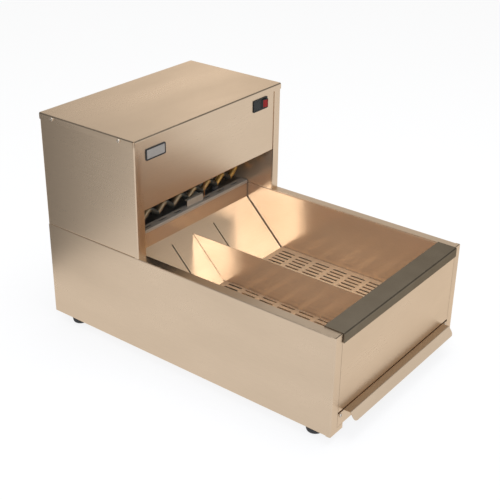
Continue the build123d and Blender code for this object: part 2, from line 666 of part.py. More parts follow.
def tower_front_panel():
    """Front skin of the tower, behind its side flanges, with the hot-air mouth below it."""
    inner = PANEL_FACE + PANEL_HEM
    line = [(inner, OPENING_TOP), (PANEL_FACE, OPENING_TOP), (PANEL_FACE, COVER_UNDER), (inner, COVER_UNDER)]
    edge = BIN_HALF + FRONT_PANEL_LAP
    panel = along_x(folded(line, SKIN, SKIN_BEND), (-edge, edge))
    notch = block((BIN_HALF - SEAM, edge), (PANEL_FACE + SKIN, inner), (OPENING_TOP, OPENING_TOP + SKIN_BEND))
    panel -= [notch, mirror(notch, about=Plane.YZ)]
    top_notch = block((HALF - TOWER_FLANGE - SEAM, edge), (PANEL_FACE + SKIN, inner), (TOP - COVER_LIP, TOP))
    panel -= [top_notch, mirror(top_notch, about=Plane.YZ)]
    half_x = SWITCH_LENGTH / 2 - SWITCH_BODY_INSET
    half_z = SWITCH_TALL / 2 - SWITCH_BODY_INSET
    return panel - block((SWITCH_X - half_x, SWITCH_X + half_x), past(PANEL_FACE, PANEL_FACE + SKIN),
                         (SWITCH_Z - half_z, SWITCH_Z + half_z))


def tower_rear_panel():
    """Rear skin of the tower, screwed over the side flanges, with louvres and the cord gland's hole."""
    edge = HALF - REAR_PANEL_LAP / 2
    panel = block((-edge, edge), (DEPTH, REAR_FACE), (RIM + SKIN_BEND, TOP - COVER_LIP - SEAM))
    top = TOP - COVER_LIP - REAR_SCREW_INSET
    low = top - (LOUVRES - 1) * LOUVRE_PITCH
    slots = Sketch() + [Pos(i * LOUVRE_X, low + j * LOUVRE_PITCH) * SlotOverall(LOUVRE_LENGTH, LOUVRE_WIDTH)
                        for i in (-1, 0, 1) for j in range(LOUVRES)]
    panel -= along_y(slots, past(DEPTH, REAR_FACE))
    panel -= pin_back(GLAND_X, past(DEPTH, REAR_FACE), GLAND_Z, GLAND_NECK)
    return panel - rear_screw_holes((DEPTH, REAR_FACE))


def top_cover():
    """Cover with four turned-down lips that are open at the corners."""
    x = HALF + COVER_OVERHANG
    front = TOWER_FRONT - COVER_OVERHANG
    rear = DEPTH + COVER_OVERHANG
    low = TOP - COVER_LIP
    across = folded([(-x, low), (-x, TOP), (x, TOP), (x, low)], SKIN, COVER_BEND)
    lengthways = folded([(front, low), (front, TOP), (rear, TOP), (rear, low)], SKIN, COVER_BEND)
    cover = along_y(across, (front + COVER_BEND, rear - COVER_BEND))
    cover += along_x(lengthways, (-x + COVER_BEND, x - COVER_BEND))
    return cover - cover_screw_holes((-x, -x + SKIN))


# ---- air system ---------------------------------------------------------------------------
def duct_side(side):
    """Side wall of the hot-air duct inside the tower."""
    line = [(-BIN_HALF, RIM), (-BIN_HALF, MOTOR_DECK), (-BIN_HALF - WALL_FOOT, MOTOR_DECK)]
    wall = along_y(folded(line, LINER, LINER_BEND, Side.LEFT), (PANEL_FACE + SKIN, BACK_WALL_Y))
    return on_side(wall, side)


def plenum_back():
    """Back wall of the air path, from the bottom pan to the motor deck."""
    line = [(BACK_WALL_Y - WALL_FOOT, PAN_TOP), (BACK_WALL_Y, PAN_TOP), (BACK_WALL_Y, MOTOR_DECK)]
    foot_and_wall = along_x(folded(line, LINER, LINER_BEND, Side.LEFT), (-BIN_HALF, BIN_HALF))
    return foot_and_wall


def blower_places():
    """X of the two blowers."""
    return {"left": -BLOWER_X, "right": BLOWER_X}


def intake_deck():
    """Sheet between the return air below and the blowers above, with two round intakes."""
    deck = block((-BIN_HALF, BIN_HALF), (AIR_WALL_Y + LINER, BACK_WALL_Y - LINER),
                 (INTAKE_DECK - LINER, INTAKE_DECK))
    return deck - [post(x, BLOWER_Y, past(INTAKE_DECK - LINER, INTAKE_DECK), INTAKE_RADIUS)
                   for x in blower_places().values()]


def motor_deck():
    """Deck that carries the motors, between the air path and the electrical space."""
    front = PANEL_FACE + SKIN
    edge = HALF - SKIN
    line = [(front, DECK_TOP + DECK_FLANGE), (front, MOTOR_DECK), (BACK_WALL_Y, MOTOR_DECK),
            (BACK_WALL_Y, DECK_TOP + DECK_FLANGE)]
    deck = along_x(folded(line, SKIN, SKIN_BEND, Side.LEFT), (-edge, edge))
    through = past(MOTOR_DECK, DECK_TOP)
    for x in blower_places().values():
        deck -= post(x, BLOWER_Y, through, SHAFT_HOLE_RADIUS)
        deck -= motor_screw_posts(x, through, M4_SHANK / 2 + HOLE_PLAY)
    for x in element_ends():
        deck -= post(x, ELEMENT_PLANE, through, BUSHING_RADIUS - LINER)
    return deck - post(CAPILLARY_X, GUARD_Y, through, 2 * CAPILLARY_RADIUS)


def intake_ring(side):
    """Bell-mouthed ring that leads air into a blower wheel."""
    low = INTAKE_DECK
    line = [(INTAKE_RING_RADIUS, low), (INTAKE_RADIUS, low), (INTAKE_RADIUS, low + INTAKE_RING_TALL)]
    section = folded(line, RING_SHEET, 3 * RING_SHEET)
    ring = revolve(Plane.XZ * section, Axis.Z)
    return Pos(blower_places()[side], BLOWER_Y, 0) * ring


def blower_wheel(side):
    """Centrifugal wheel: back plate with hub, swept blades and an inlet ring."""
    top = WHEEL_UNDER + WHEEL_HEIGHT
    hub_z = (top - HUB_TALL, top)
    wheel = post(0, 0, (top - WHEEL_SHEET, top), WHEEL_RADIUS) + post(0, 0, hub_z, HUB_RADIUS)
    wheel += post(0, 0, (WHEEL_UNDER, WHEEL_UNDER + WHEEL_SHEET), WHEEL_RADIUS)
    wheel -= post(0, 0, past(WHEEL_UNDER, WHEEL_UNDER + WHEEL_SHEET), WHEEL_RADIUS - BLADE_LENGTH)
    half_length, half_sheet = BLADE_LENGTH / 2, WHEEL_SHEET / 2
    blade = block((-half_length, half_length), (-half_sheet, half_sheet), (WHEEL_UNDER, top))
    blade = Pos(WHEEL_RADIUS - BLADE_LENGTH / 2, 0, 0) * Rot(0, 0, BLADE_SWEEP) * blade
    wheel += [Rot(0, 0, i * 360 / WHEEL_BLADES) * blade for i in range(WHEEL_BLADES)]
    wheel -= post(0, 0, past(*hub_z), SHAFT_RADIUS + SHAFT_PLAY)
    turned = wheel if side == "right" else mirror(wheel, about=Plane.YZ)
    return Pos(blower_places()[side], BLOWER_Y, 0) * turned


def motor_screw_posts(x, z, radius):
    """Upright cylinders at a motor's fixing screws."""
    step = 360 / MOTOR_SCREWS
    return [post(x + MOTOR_SCREW_RADIUS * cos(radians(i * step + step / 2)),
                 BLOWER_Y + MOTOR_SCREW_RADIUS * sin(radians(i * step + step / 2)), z, radius)
            for i in range(MOTOR_SCREWS)]


def blower_motor(side):
    """Flange-mounted motor with its shaft hole below."""
    x = blower_places()[side]
    low = DECK_TOP
    body = post(x, BLOWER_Y, (low, low + MOTOR_HEIGHT), MOTOR_RADIUS)
    body = fillet(body.edges().sort_by(Axis.Z)[-1], MOTOR_FLANGE_TALL)
    body += post(x, BLOWER_Y, (low, low + MOTOR_FLANGE_TALL), MOTOR_FLANGE_RADIUS)
    body += post(x, BLOWER_Y, (low + MOTOR_HEIGHT, low + MOTOR_HEIGHT + MOTOR_BOSS_TALL), MOTOR_BOSS_RADIUS)
    body -= post(x, BLOWER_Y, (low, low + SHAFT_IN_MOTOR), SHAFT_RADIUS + SHAFT_PLAY)
    return body - motor_screw_posts(x, (low, low + MOTOR_HEIGHT), M4_SHANK / 2 + HOLE_PLAY)


def motor_shaft(side):
    """Shaft from inside the motor down to the wheel's hub."""
    low = WHEEL_UNDER + WHEEL_HEIGHT - HUB_TALL
    return post(blower_places()[side], BLOWER_Y, (low, DECK_TOP + SHAFT_IN_MOTOR - GAP), SHAFT_RADIUS)


def motor_screws():
    """Screws that hold both motors to the deck."""
    flange = DECK_TOP + MOTOR_FLANGE_TALL
    screws = []
    for x in blower_places().values():
        shanks = motor_screw_posts(x, (flange - M4_LENGTH, flange), M4_SHANK / 2)
        heads = motor_screw_posts(x, (flange, flange + M4_HEAD_TALL), M4_HEAD / 2 - HOLE_PLAY)
        screws += [shank + head for shank, head in zip(shanks, heads)]
    return screws


# ---- heating element ----------------------------------------------------------------------
def element_ends():
    """X of the element's two upright ends."""
    return [i * ELEMENT_WAVES * ELEMENT_PITCH / 2 for i in (-1, 1)]


def heating_element():
    """Sheathed element bent to a zigzag across the hot-air mouth, with upright ends."""
    left, right = element_ends()
    top = DECK_TOP + ELEMENT_HEAD
    wave = [(left + i * ELEMENT_PITCH / 2, ELEMENT_PLANE, ELEMENT_LOW if i % 2 else ELEMENT_HIGH)
            for i in range(2 * ELEMENT_WAVES + 1)]
    line = [(left, ELEMENT_PLANE, top)] + wave + [(right, ELEMENT_PLANE, top)]
    return tube(line, ELEMENT_RADIUS, ELEMENT_BEND)


def element_rests():
    """Saddles under the lowest bends of the element."""
    lowest = spread(ELEMENT_WAVES, ELEMENT_PITCH)
    half = REST_LENGTH / 2
    y = (ELEMENT_PLANE - REST_DEPTH / 2, ELEMENT_PLANE + REST_DEPTH / 2)
    bent_low = ELEMENT_LOW + ELEMENT_BEND * (1 / cos(radians(ELEMENT_ANGLE)) - 1) - ELEMENT_RADIUS
    return [block((x - half, x + half), y, (INTAKE_DECK, bent_low)) for x in (lowest[1], lowest[-2])]


def element_bushings():
    """Ceramic bushings where the element's ends pass the motor deck."""
    bushings = []
    for x in element_ends():
        bush = post(x, ELEMENT_PLANE, (DECK_TOP, DECK_TOP + BUSHING_TALL), BUSHING_RADIUS)
        bush += post(x, ELEMENT_PLANE, (MOTOR_DECK, DECK_TOP), BUSHING_RADIUS - LINER - HOLE_PLAY)
        bushings.append(bush - post(x, ELEMENT_PLANE, past(MOTOR_DECK, DECK_TOP + BUSHING_TALL),
                                    ELEMENT_RADIUS + HOLE_PLAY))
    return bushings


# ---- controls -----------------------------------------------------------------------------
def rocker_radius():
    """Radius that the rocker's ends sweep about its axis."""
    return SWITCH_LENGTH / 2 - SWITCH_FRAME - GAP


def rocker_profile(outer, front, back):
    """Rocker's section in X and Y about its axis: a shallow V in front, round ends."""
    rise = outer * tan(radians(ROCKER_TILT))
    outline = [(-outer, -front - rise), (0, -front), (outer, -front - rise), (outer, back), (-outer, back)]
    return make_face(Polyline(*outline, close=True).edges()) & Circle(outer)


def in_switch(piece):
    """Move a piece drawn about the rocker's axis into the panel, tilted to its ON side."""
    return Pos(SWITCH_X, PANEL_FACE, SWITCH_Z) * Rot(0, 0, -ROCKER_TILT) * piece


def lens_cutter():
    """Space of the lens in the rocker, about the rocker's axis."""
    half = SWITCH_TALL / 2 - SWITCH_FRAME - GAP - LENS_BORDER
    outer = rocker_radius()
    section = rocker_profile(outer, ROCKER_PROUD, ROCKER_BACK)
    section -= Pos(0, LENS_DEPTH) * rocker_profile(outer + LENS_DEPTH, ROCKER_PROUD, ROCKER_BACK)
    band = Pos(LENS_SHARE_START, 0) * Rectangle(outer - LENS_END_MARGIN - LENS_SHARE_START, 2 * outer,
                                                align=(Align.MIN, Align.CENTER))
    return along_z(section & band, (-half, half))


def switch_body():
    """Bezel and body of the power switch, open in front for the rocker."""
    x = (SWITCH_X - SWITCH_LENGTH / 2, SWITCH_X + SWITCH_LENGTH / 2)
    z = (SWITCH_Z - SWITCH_TALL / 2, SWITCH_Z + SWITCH_TALL / 2)
    inset = SWITCH_BODY_INSET
    body = block(x, (PANEL_FACE - SWITCH_BEZEL, PANEL_FACE), z)
    body = fillet(body.edges().filter_by(Axis.Y), SWITCH_BEZEL)
    body += block((x[0] + inset, x[1] - inset), (PANEL_FACE, PANEL_FACE + SWITCH_BODY_DEPTH),
                  (z[0] + inset, z[1] - inset))
    frame = SWITCH_FRAME
    body -= block((x[0] + frame, x[1] - frame), (PANEL_FACE - SWITCH_BEZEL, PANEL_FACE + 3 * ROCKER_BACK),
                  (z[0] + frame, z[1] - frame))
    reach = SWITCH_TALL / 2 - frame + PIVOT_LENGTH
    return body - post(SWITCH_X, PANEL_FACE, (SWITCH_Z - reach, SWITCH_Z + reach), PIVOT_RADIUS + SHAFT_PLAY)


def switch_rocker():
    """Rocker that turns about an upright axis, with pivot pins at both ends of the axis."""
    half = SWITCH_TALL / 2 - SWITCH_FRAME - GAP
    rocker = along_z(rocker_profile(rocker_radius(), ROCKER_PROUD, ROCKER_BACK), (-half, half))
    rocker += post(0, 0, (-half - PIVOT_LENGTH, half + PIVOT_LENGTH), PIVOT_RADIUS)
    return in_switch(rocker - lens_cutter())


def switch_lens():
    """Red lens set into the rocker's ON end."""
    return in_switch(lens_cutter())


def badge_plate():
    """Blank name plate with a raised rim."""
    outline = Plane.XZ * Pos(BADGE_X, BADGE_Z) * RectangleRounded(BADGE_LENGTH, BADGE_TALL, BADGE_CORNER)
    field = Plane.XZ * Pos(BADGE_X, BADGE_Z) * RectangleRounded(
        BADGE_LENGTH - 2 * BADGE_RIM, BADGE_TALL - 2 * BADGE_RIM, BADGE_CORNER / 2)
    plate = Pos(0, PANEL_FACE, 0) * extrude(outline, BADGE_THICKNESS)
    return plate - Pos(0, PANEL_FACE - BADGE_THICKNESS + BADGE_RECESS, 0) * extrude(field, BADGE_RECESS)


def thermostat():
    """Thermostat body on the motor deck."""
    half = THERMOSTAT_SIZE / 2
    y = TOWER_FRONT + THERMOSTAT_Y
    body = block((-half, half), (y - half, y + half), (DECK_TOP, DECK_TOP + THERMOSTAT_TALL))
    body = fillet(body.edges().filter_by(Axis.Z), SKIN_BEND)
    low = DECK_TOP + THERMOSTAT_TALL - SPINDLE_TALL
    return body - post(0, y, (low, DECK_TOP + THERMOSTAT_TALL), SPINDLE_RADIUS + SHAFT_PLAY)


def thermostat_spindle():
    """Adjusting spindle with a screwdriver slot."""
    y = TOWER_FRONT + THERMOSTAT_Y
    middle = DECK_TOP + THERMOSTAT_TALL
    spindle = post(0, y, (middle - SPINDLE_TALL + GAP, middle + SPINDLE_TALL), SPINDLE_RADIUS)
    return spindle - block((-SPINDLE_RADIUS, SPINDLE_RADIUS), (y - SPINDLE_FLAT / 2, y + SPINDLE_FLAT / 2),
                           (middle + SPINDLE_TALL - 2 * SPINDLE_FLAT, middle + SPINDLE_TALL))


def thermostat_bulb():
    """Sensing bulb in its guard on the air ledge, with its capillary up to the thermostat."""
    z = AIR_LEDGE + LINER + BULB_RADIUS
    body_y = TOWER_FRONT + THERMOSTAT_Y
    high = DECK_TOP + THERMOSTAT_TALL / 2
    half = BULB_LENGTH / 2
    bulb = pin_across((GUARD_X - half, GUARD_X + half), GUARD_Y, z, BULB_RADIUS)
    line = [(GUARD_X + half, GUARD_Y, z), (CAPILLARY_X, GUARD_Y, z), (CAPILLARY_X, GUARD_Y, high),
            (CAPILLARY_X, body_y, high), (THERMOSTAT_SIZE / 2, body_y, high)]
    return bulb + tube(line, CAPILLARY_RADIUS, CAPILLARY_BEND)


def high_limit():
    """Over-temperature cut-out on the motor deck."""
    x = -BLOWER_X
    y = TOWER_FRONT + THERMOSTAT_Y
    plate = block((x - LIMIT_PLATE / 2, x + LIMIT_PLATE / 2), (y - LIMIT_RADIUS, y + LIMIT_RADIUS),
                  (DECK_TOP, DECK_TOP + SKIN))
    return plate + post(x, y, (DECK_TOP, DECK_TOP + LIMIT_TALL), LIMIT_RADIUS)


def probe_guard():
    """Folded guard on the air ledge, round the sensing bulb."""
    half = GUARD_LENGTH / 2
    front = GUARD_Y - GUARD_DEPTH / 2
    back = GUARD_Y + GUARD_DEPTH / 2
    high = AIR_LEDGE + GUARD_TALL
    line = [(back, AIR_LEDGE), (front, AIR_LEDGE), (front, high), (back, high)]
    return along_x(folded(line, LINER, LINER_BEND), (GUARD_X - half, GUARD_X + half))


def terminal_block():
    """Row of terminals at the back of the motor deck."""
    y = BACK_WALL_Y - 2 * BLOCK_DEPTH
    half = BLOCK_LENGTH / 2
    block_body = block((-half, half), (y, y + BLOCK_DEPTH), (DECK_TOP, DECK_TOP + BLOCK_TALL))
    wells = [post(x, y + BLOCK_DEPTH / 2, (DECK_TOP + BLOCK_TALL / 2, DECK_TOP + BLOCK_TALL), M4_HEAD / 2)
             for x in spread(BLOCK_POLES, BLOCK_LENGTH / BLOCK_POLES)]
    return block_body - wells


def cord_gland():
    """Gland in the rear panel for the supply cord."""
    z = GLAND_Z
    gland = pin_back(GLAND_X, (REAR_FACE, REAR_REACH), z, GLAND_FLANGE)
    gland = fillet(gland.edges().sort_by(Axis.Y)[-1], SKIN)
    gland += pin_back(GLAND_X, (REAR_REACH - GLAND_LENGTH, REAR_FACE), z, GLAND_NECK - HOLE_PLAY)
    return gland - pin_back(GLAND_X, past(REAR_REACH - GLAND_LENGTH, REAR_REACH), z, GLAND_BORE)


def wiring():
    """Leads from the terminal block to the switch and to the heating element."""
    z = DECK_TOP + BLOCK_TALL / 3
    start = BACK_WALL_Y - 2 * BLOCK_DEPTH
    switch_back = PANEL_FACE + SWITCH_BODY_DEPTH
    turn_y = start - 2 * WIRE_BEND
    clear_y = BLOWER_Y - MOTOR_RADIUS - 2 * WIRE_BEND
    x = BLOCK_LENGTH / 3
    to_switch = [(x, start, z), (x, clear_y, z), (SWITCH_X, clear_y, z), (SWITCH_X, clear_y, SWITCH_Z),
                 (SWITCH_X, switch_back, SWITCH_Z)]
    left = element_ends()[0]
    head = DECK_TOP + ELEMENT_HEAD - 2 * WIRE_RADIUS
    to_element = [(-x, start, z), (-x, turn_y, z), (-x, clear_y, head), (left, clear_y, head),
                  (left, ELEMENT_PLANE + ELEMENT_RADIUS, head)]
    return [tube(to_switch, WIRE_RADIUS, WIRE_BEND), tube(to_element, WIRE_RADIUS, WIRE_BEND / 2)]


# ---- every node ---------------------------------------------------------------------------
def all_nodes():
    """Every sub-part by name."""
    nodes = {
        "base_rear_panel": base_rear_panel(),
        "bottom_pan": bottom_pan(),
        "front_panel": front_panel(),
        "front_rail": front_rail(),
        "bin_front_wall": bin_front_wall(),
        "sloped_back": sloped_back(),
        "air_wall": air_wall(),
        "air_ledge": air_ledge(),
        "screen_ledges": screen_ledges(),
        "floor_screen": floor_screen(),
        "divider": divider(),
        "crumb_tray": crumb_tray(),
        "tray_handle": tray_handle(),
        "tray_handle_screws": tray_handle_screws(),
        "feet": feet(),
        "foot_screws": foot_screws(),
        "foot_nuts": foot_nuts(),
        "tower_front_panel": tower_front_panel(),
        "tower_rear_panel": tower_rear_panel(),
        "top_cover": top_cover(),
        "cover_screws": cover_screws(),
        "rear_panel_screws": rear_panel_screws(),
        "plenum_back": plenum_back(),
        "intake_deck": intake_deck(),
        "motor_deck": motor_deck(),
        "motor_screws": motor_screws(),
        "heating_element": heating_element(),
        "element_rests": element_rests(),
        "element_bushings": element_bushings(),
        "switch_body": switch_body(),
        "switch_rocker": switch_rocker(),
        "switch_lens": switch_lens(),
        "badge_plate": badge_plate(),
        "thermostat": thermostat(),
        "thermostat_spindle": thermostat_spindle(),
        "thermostat_bulb": thermostat_bulb(),
        "high_limit": high_limit(),
        "probe_guard": probe_guard(),
        "terminal_block": terminal_block(),
        "cord_gland": cord_gland(),
        "wiring": wiring(),
    }
    for side in SIDES:
        nodes[side + "_side_panel"] = side_panel(side)
        nodes[side + "_bin_wall"] = bin_wall(side)
        nodes[side + "_tray_runner"] = tray_runner(side)
        nodes[side + "_tower_side"] = tower_side(side)
        nodes[side + "_duct_side"] = duct_side(side)
        nodes[side + "_intake_ring"] = intake_ring(side)
        nodes[side + "_blower_wheel"] = blower_wheel(side)
        nodes[side + "_blower_motor"] = blower_motor(side)
        nodes[side + "_motor_shaft"] = motor_shaft(side)
    return nodes


def export_all():
    """Write one STEP file for each node, moved so that the origin is under the object's middle."""
    os.makedirs("parts", exist_ok=True)
    for name, piece in all_nodes().items():
        solids = piece if isinstance(piece, list) else [piece]
        found = [solid for part in solids for solid in part.solids()]
        shape = found[0] if len(found) == 1 else Compound(children=found)
        export_step(Pos(0, -MIDDLE_Y, 0) * shape, os.path.join("parts", name + ".step"))


export_all()
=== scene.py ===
"""Chip warmer: finishes for its folded sheet steel, its small detailed pieces and the studio."""

import logging
import math
from dataclasses import dataclass, field
from enum import Enum
from typing import Callable, Iterable, Sequence

import bmesh
import bpy
from mathutils import Matrix, Vector

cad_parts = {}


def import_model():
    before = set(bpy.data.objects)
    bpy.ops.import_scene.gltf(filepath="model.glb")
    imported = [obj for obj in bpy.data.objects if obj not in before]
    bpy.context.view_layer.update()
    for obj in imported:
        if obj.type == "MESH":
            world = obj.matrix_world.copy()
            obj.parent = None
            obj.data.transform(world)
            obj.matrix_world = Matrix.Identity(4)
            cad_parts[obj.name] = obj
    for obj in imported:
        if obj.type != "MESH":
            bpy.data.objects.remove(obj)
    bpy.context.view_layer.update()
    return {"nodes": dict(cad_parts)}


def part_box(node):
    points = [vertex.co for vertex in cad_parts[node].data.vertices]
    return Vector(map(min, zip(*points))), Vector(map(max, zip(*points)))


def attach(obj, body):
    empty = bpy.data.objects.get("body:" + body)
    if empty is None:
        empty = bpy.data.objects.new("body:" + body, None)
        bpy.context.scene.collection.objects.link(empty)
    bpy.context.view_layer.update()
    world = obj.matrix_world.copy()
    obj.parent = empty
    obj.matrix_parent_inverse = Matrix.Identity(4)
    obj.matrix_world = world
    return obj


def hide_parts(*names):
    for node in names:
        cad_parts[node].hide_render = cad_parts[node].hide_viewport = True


Colour = tuple[float, float, float]
Point = tuple[float, float, float]
Outline = list[tuple[float, float]]
Row = list[bmesh.types.BMVert]

MM = 0.001
SHARP_ANGLE = 32.0
LOG = logging.getLogger("chip_warmer")


class Grain(Enum):
    """Direction of a sheet's brush lines, as the axis that they run along."""

    ALONG_X = "X"
    ALONG_Y = "Y"

    def stretch(self, fine: float, length: float) -> list[float]:
        """Noise scale per axis: fine across the lines and long along them.

        Args:
            fine: Lines per metre.
            length: How many times longer than wide a line is.

        Returns:
            The scale on X, Y and Z.
        """
        return [fine / length if axis == self.value else fine for axis in "XYZ"]


def grey(shade: float) -> tuple[float, float, float, float]:
    """An opaque grey."""
    return shade, shade, shade, 1.0


class Graph:
    """The node tree of a material or of the world, with short calls to add and join nodes."""

    # A Mix node has several sockets of one name, so its colour sockets go by number.
    MIX_COLOURS = (6, 7)
    MIX_RESULT = 2
    # The largest part of a face's normal: a bend, where shade is painted, up to the first value, flat sheet
    # from the second.
    BENT, FLAT = 0.90, 0.985

    def __init__(self, owner: bpy.types.Material | bpy.types.World) -> None:
        """Start with an empty tree.

        Args:
            owner: The material or world that the tree belongs to.
        """
        owner.use_nodes = True
        self.owner = owner
        self.tree = owner.node_tree
        self.tree.nodes.clear()
        kind = "World" if isinstance(owner, bpy.types.World) else "Material"
        self.output = self.add("ShaderNodeOutput" + kind)

    @classmethod
    def for_material(cls, name: str) -> "Graph":
        """The empty tree of a new material."""
        return cls(bpy.data.materials.new(name))

    def add(self, kind: str, inputs: dict[str | int, object] | None = None,
            **settings: object) -> bpy.types.Node:
        """Add a node.

        Args:
            kind: Blender's node type.
            inputs: Values or sockets for the node's inputs, by name or index.
            **settings: Properties of the node.

        Returns:
            The new node.
        """
        node = self.tree.nodes.new(kind)
        for key, value in settings.items():
            setattr(node, key, value)
        for key, value in (inputs or {}).items():
            self.feed(node, key, value)
        return node

    def feed(self, node: bpy.types.Node, key: str | int, value: object) -> None:
        """Set or link one input of a node.

        Args:
            node: The node.
            key: The input's name or index.
            value: A value, or the socket to link from.
        """
        if isinstance(value, bpy.types.NodeSocket):
            self.tree.links.new(value, node.inputs[key])
        else:
            node.inputs[key].default_value = value

    def place(self, scale: Sequence[float]) -> bpy.types.NodeSocket:
        """Object coordinates, scaled per axis."""
        coords = self.add("ShaderNodeTexCoord").outputs["Object"]
        return self.add("ShaderNodeMapping", {"Vector": coords, "Scale": tuple(scale)}).outputs["Vector"]

    def noise(self, scale: Sequence[float], detail: float, rough: float) -> bpy.types.NodeSocket:
        """Noise between 0 and 1 over object coordinates.

        Args:
            scale: Spots per metre on X, Y and Z.
            detail: Number of finer layers.
            rough: How strong each finer layer is.

        Returns:
            The noise.
        """
        inputs = {"Vector": self.place(scale), "Scale": 1.0, "Detail": detail, "Roughness": rough}
        return self.add("ShaderNodeTexNoise", inputs).outputs["Fac"]

    def spread(self, value: bpy.types.NodeSocket, low: float, high: float,
               start: float = 0.3, end: float = 0.7) -> bpy.types.NodeSocket:
        """Map a stretch of a value, by default the middle of a noise, to a range of numbers.

        Args:
            value: The value to map.
            low: The number at the stretch's start.
            high: The number at its end.
            start: Where the stretch starts.
            end: Where it ends.

        Returns:
            The mapped value.
        """
        inputs = {"Value": value, "From Min": start, "From Max": end, "To Min": low, "To Max": high}
        return self.add("ShaderNodeMapRange", inputs).outputs["Result"]

    def blend(self, share: object, first: object, second: object) -> bpy.types.NodeSocket:
        """Mix two colours.

        Args:
            share: The second colour's share, as a number or socket.
            first: A colour or socket.
            second: A colour or socket.

        Returns:
            The mixed colour.
        """
        node = self.add("ShaderNodeMix", {"Factor": share}, data_type="RGBA")
        for key, value in zip(self.MIX_COLOURS, (first, second)):
            self.feed(node, key, self.colour(value))
        return node.outputs[self.MIX_RESULT]

    @staticmethod
    def colour(value: object) -> object:
        """A colour with alpha, or the socket as it is."""
        return value if isinstance(value, bpy.types.NodeSocket) else (*value, 1.0)

    def math(self, operation: str, first: object, second: object = 0.0) -> bpy.types.NodeSocket:
        """One arithmetic step."""
        return self.add("ShaderNodeMath", {0: first, 1: second}, operation=operation).outputs[0]

    def scale(self, colour: bpy.types.NodeSocket, factor: bpy.types.NodeSocket) -> bpy.types.NodeSocket:
        """Multiply a colour by a number."""
        return self.add("ShaderNodeVectorMath", {0: colour, "Scale": factor}, operation="SCALE").outputs[0]

    def bump(self, height: bpy.types.NodeSocket, strength: float, distance: float,
             normal: bpy.types.NodeSocket | None = None) -> bpy.types.NodeSocket:
        """Bumped normal, on top of another one if given.

        Args:
            height: The relief, from 0 to 1.
            strength: How much of the relief counts.
            distance: The relief's height in metres.
            normal: The normal to bump, or None for the face's own.

        Returns:
            The bumped normal.
        """
        node = self.add("ShaderNodeBump", {"Height": height, "Strength": strength, "Distance": distance})
        if normal is not None:
            self.feed(node, "Normal", normal)
        return node.outputs["Normal"]

    def paint_shade_on_bends(self, base: bpy.types.NodeSocket, painted_darkening: float) -> bpy.types.NodeSocket:
        """Paint shade into a colour where a sheet folds, which is where its face leaves the main directions:
        a painted dark reflection of the bends.

        Args:
            base: The colour on the flat faces.
            painted_darkening: How much darker the folds are, from 0 to 1.

        Returns:
            The colour with painted shade on the folds.
        """
        normal = self.add("ShaderNodeNewGeometry").outputs["True Normal"]
        turned = self.add("ShaderNodeVectorMath", {0: normal}, operation="ABSOLUTE")
        x, y, z = self.add("ShaderNodeSeparateXYZ", {0: turned.outputs[0]}).outputs
        most = self.math("MAXIMUM", self.math("MAXIMUM", x, y), z)
        return self.scale(base, self.spread(most, 1.0 - painted_darkening, 1.0, self.BENT, self.FLAT))

    def show(self, shader: bpy.types.Node) -> None:
        """Join a shader to the output."""
        self.tree.links.new(shader.outputs[0], self.output.inputs["Surface"])

    def finish(self, **inputs: object) -> bpy.types.Material:
        """Join a Principled shader to the output.

        Args:
            **inputs: The shader's inputs, with underscores for blanks.

        Returns:
            The finished material.
        """
        shader = self.add("ShaderNodeBsdfPrincipled")
        for key, value in inputs.items():
            value = self.colour(value) if isinstance(value, tuple) else value
            self.feed(shader, key.replace("_", " "), value)
        self.show(shader)
        return self.owner


@dataclass(frozen=True)
class BrushedSteel:
    """Stainless sheet with fine brush lines, soft smears and a slightly uneven flatness."""

    name: str
    grain: Grain
    colour: Colour
    shade: Colour
    rough: float = 0.30
    rough_swing: float = 0.03
    lines_per_m: float = 2300.0
    line_length: float = 45.0
    line_bump: float = 0.003
    line_height: float = 0.0002
    smears_per_m: float = 9.0
    smear_length: float = 3.0
    smear_rough: tuple[float, float] = (-0.03, 0.04)
    waves_per_m: float = 3.1
    wave_bump: float = 0.25
    wave_height: float = 0.004
    streak: float = 0.04
    metallic: float = 1.0
    brushing: float = 0.45
    edge: Colour = (0.92, 0.80, 0.66)
    # Painted shade on the sheet's bends, from 0 to 1.
    painted_bend_shade: float = 0.0

    def material(self) -> bpy.types.Material:
        """Build the material."""
        graph = Graph.for_material(self.name)
        lines = graph.noise(self.grain.stretch(self.lines_per_m, self.line_length), detail=3.0, rough=0.6)
        smear = graph.noise(self.grain.stretch(self.smears_per_m, self.smear_length), detail=4.0, rough=0.55)
        wave = graph.noise([self.waves_per_m] * 3, detail=1.0, rough=0.4)
        base = graph.blend(graph.spread(smear, 0.0, 1.0), self.colour, self.shade)
        base = graph.scale(base, graph.spread(lines, 1.0 - self.streak, 1.0 + self.streak))
        # Painted shade along the bends, in the base colour.
        if self.painted_bend_shade:
            base = graph.paint_shade_on_bends(base, self.painted_bend_shade)
        rough = graph.spread(lines, self.rough - self.rough_swing, self.rough + self.rough_swing)
        rough = graph.math("ADD", rough, graph.spread(smear, *self.smear_rough))
        normal = graph.bump(wave, self.wave_bump, self.wave_height)
        normal = graph.bump(lines, self.line_bump, self.line_height, normal)
        tangent = graph.add("ShaderNodeTangent", direction_type="RADIAL", axis=self.grain.value)
        return graph.finish(Base_Color=base, Metallic=self.metallic, Roughness=rough, Normal=normal,
                            Anisotropic=self.brushing, Tangent=tangent.outputs[0], Specular_Tint=self.edge)


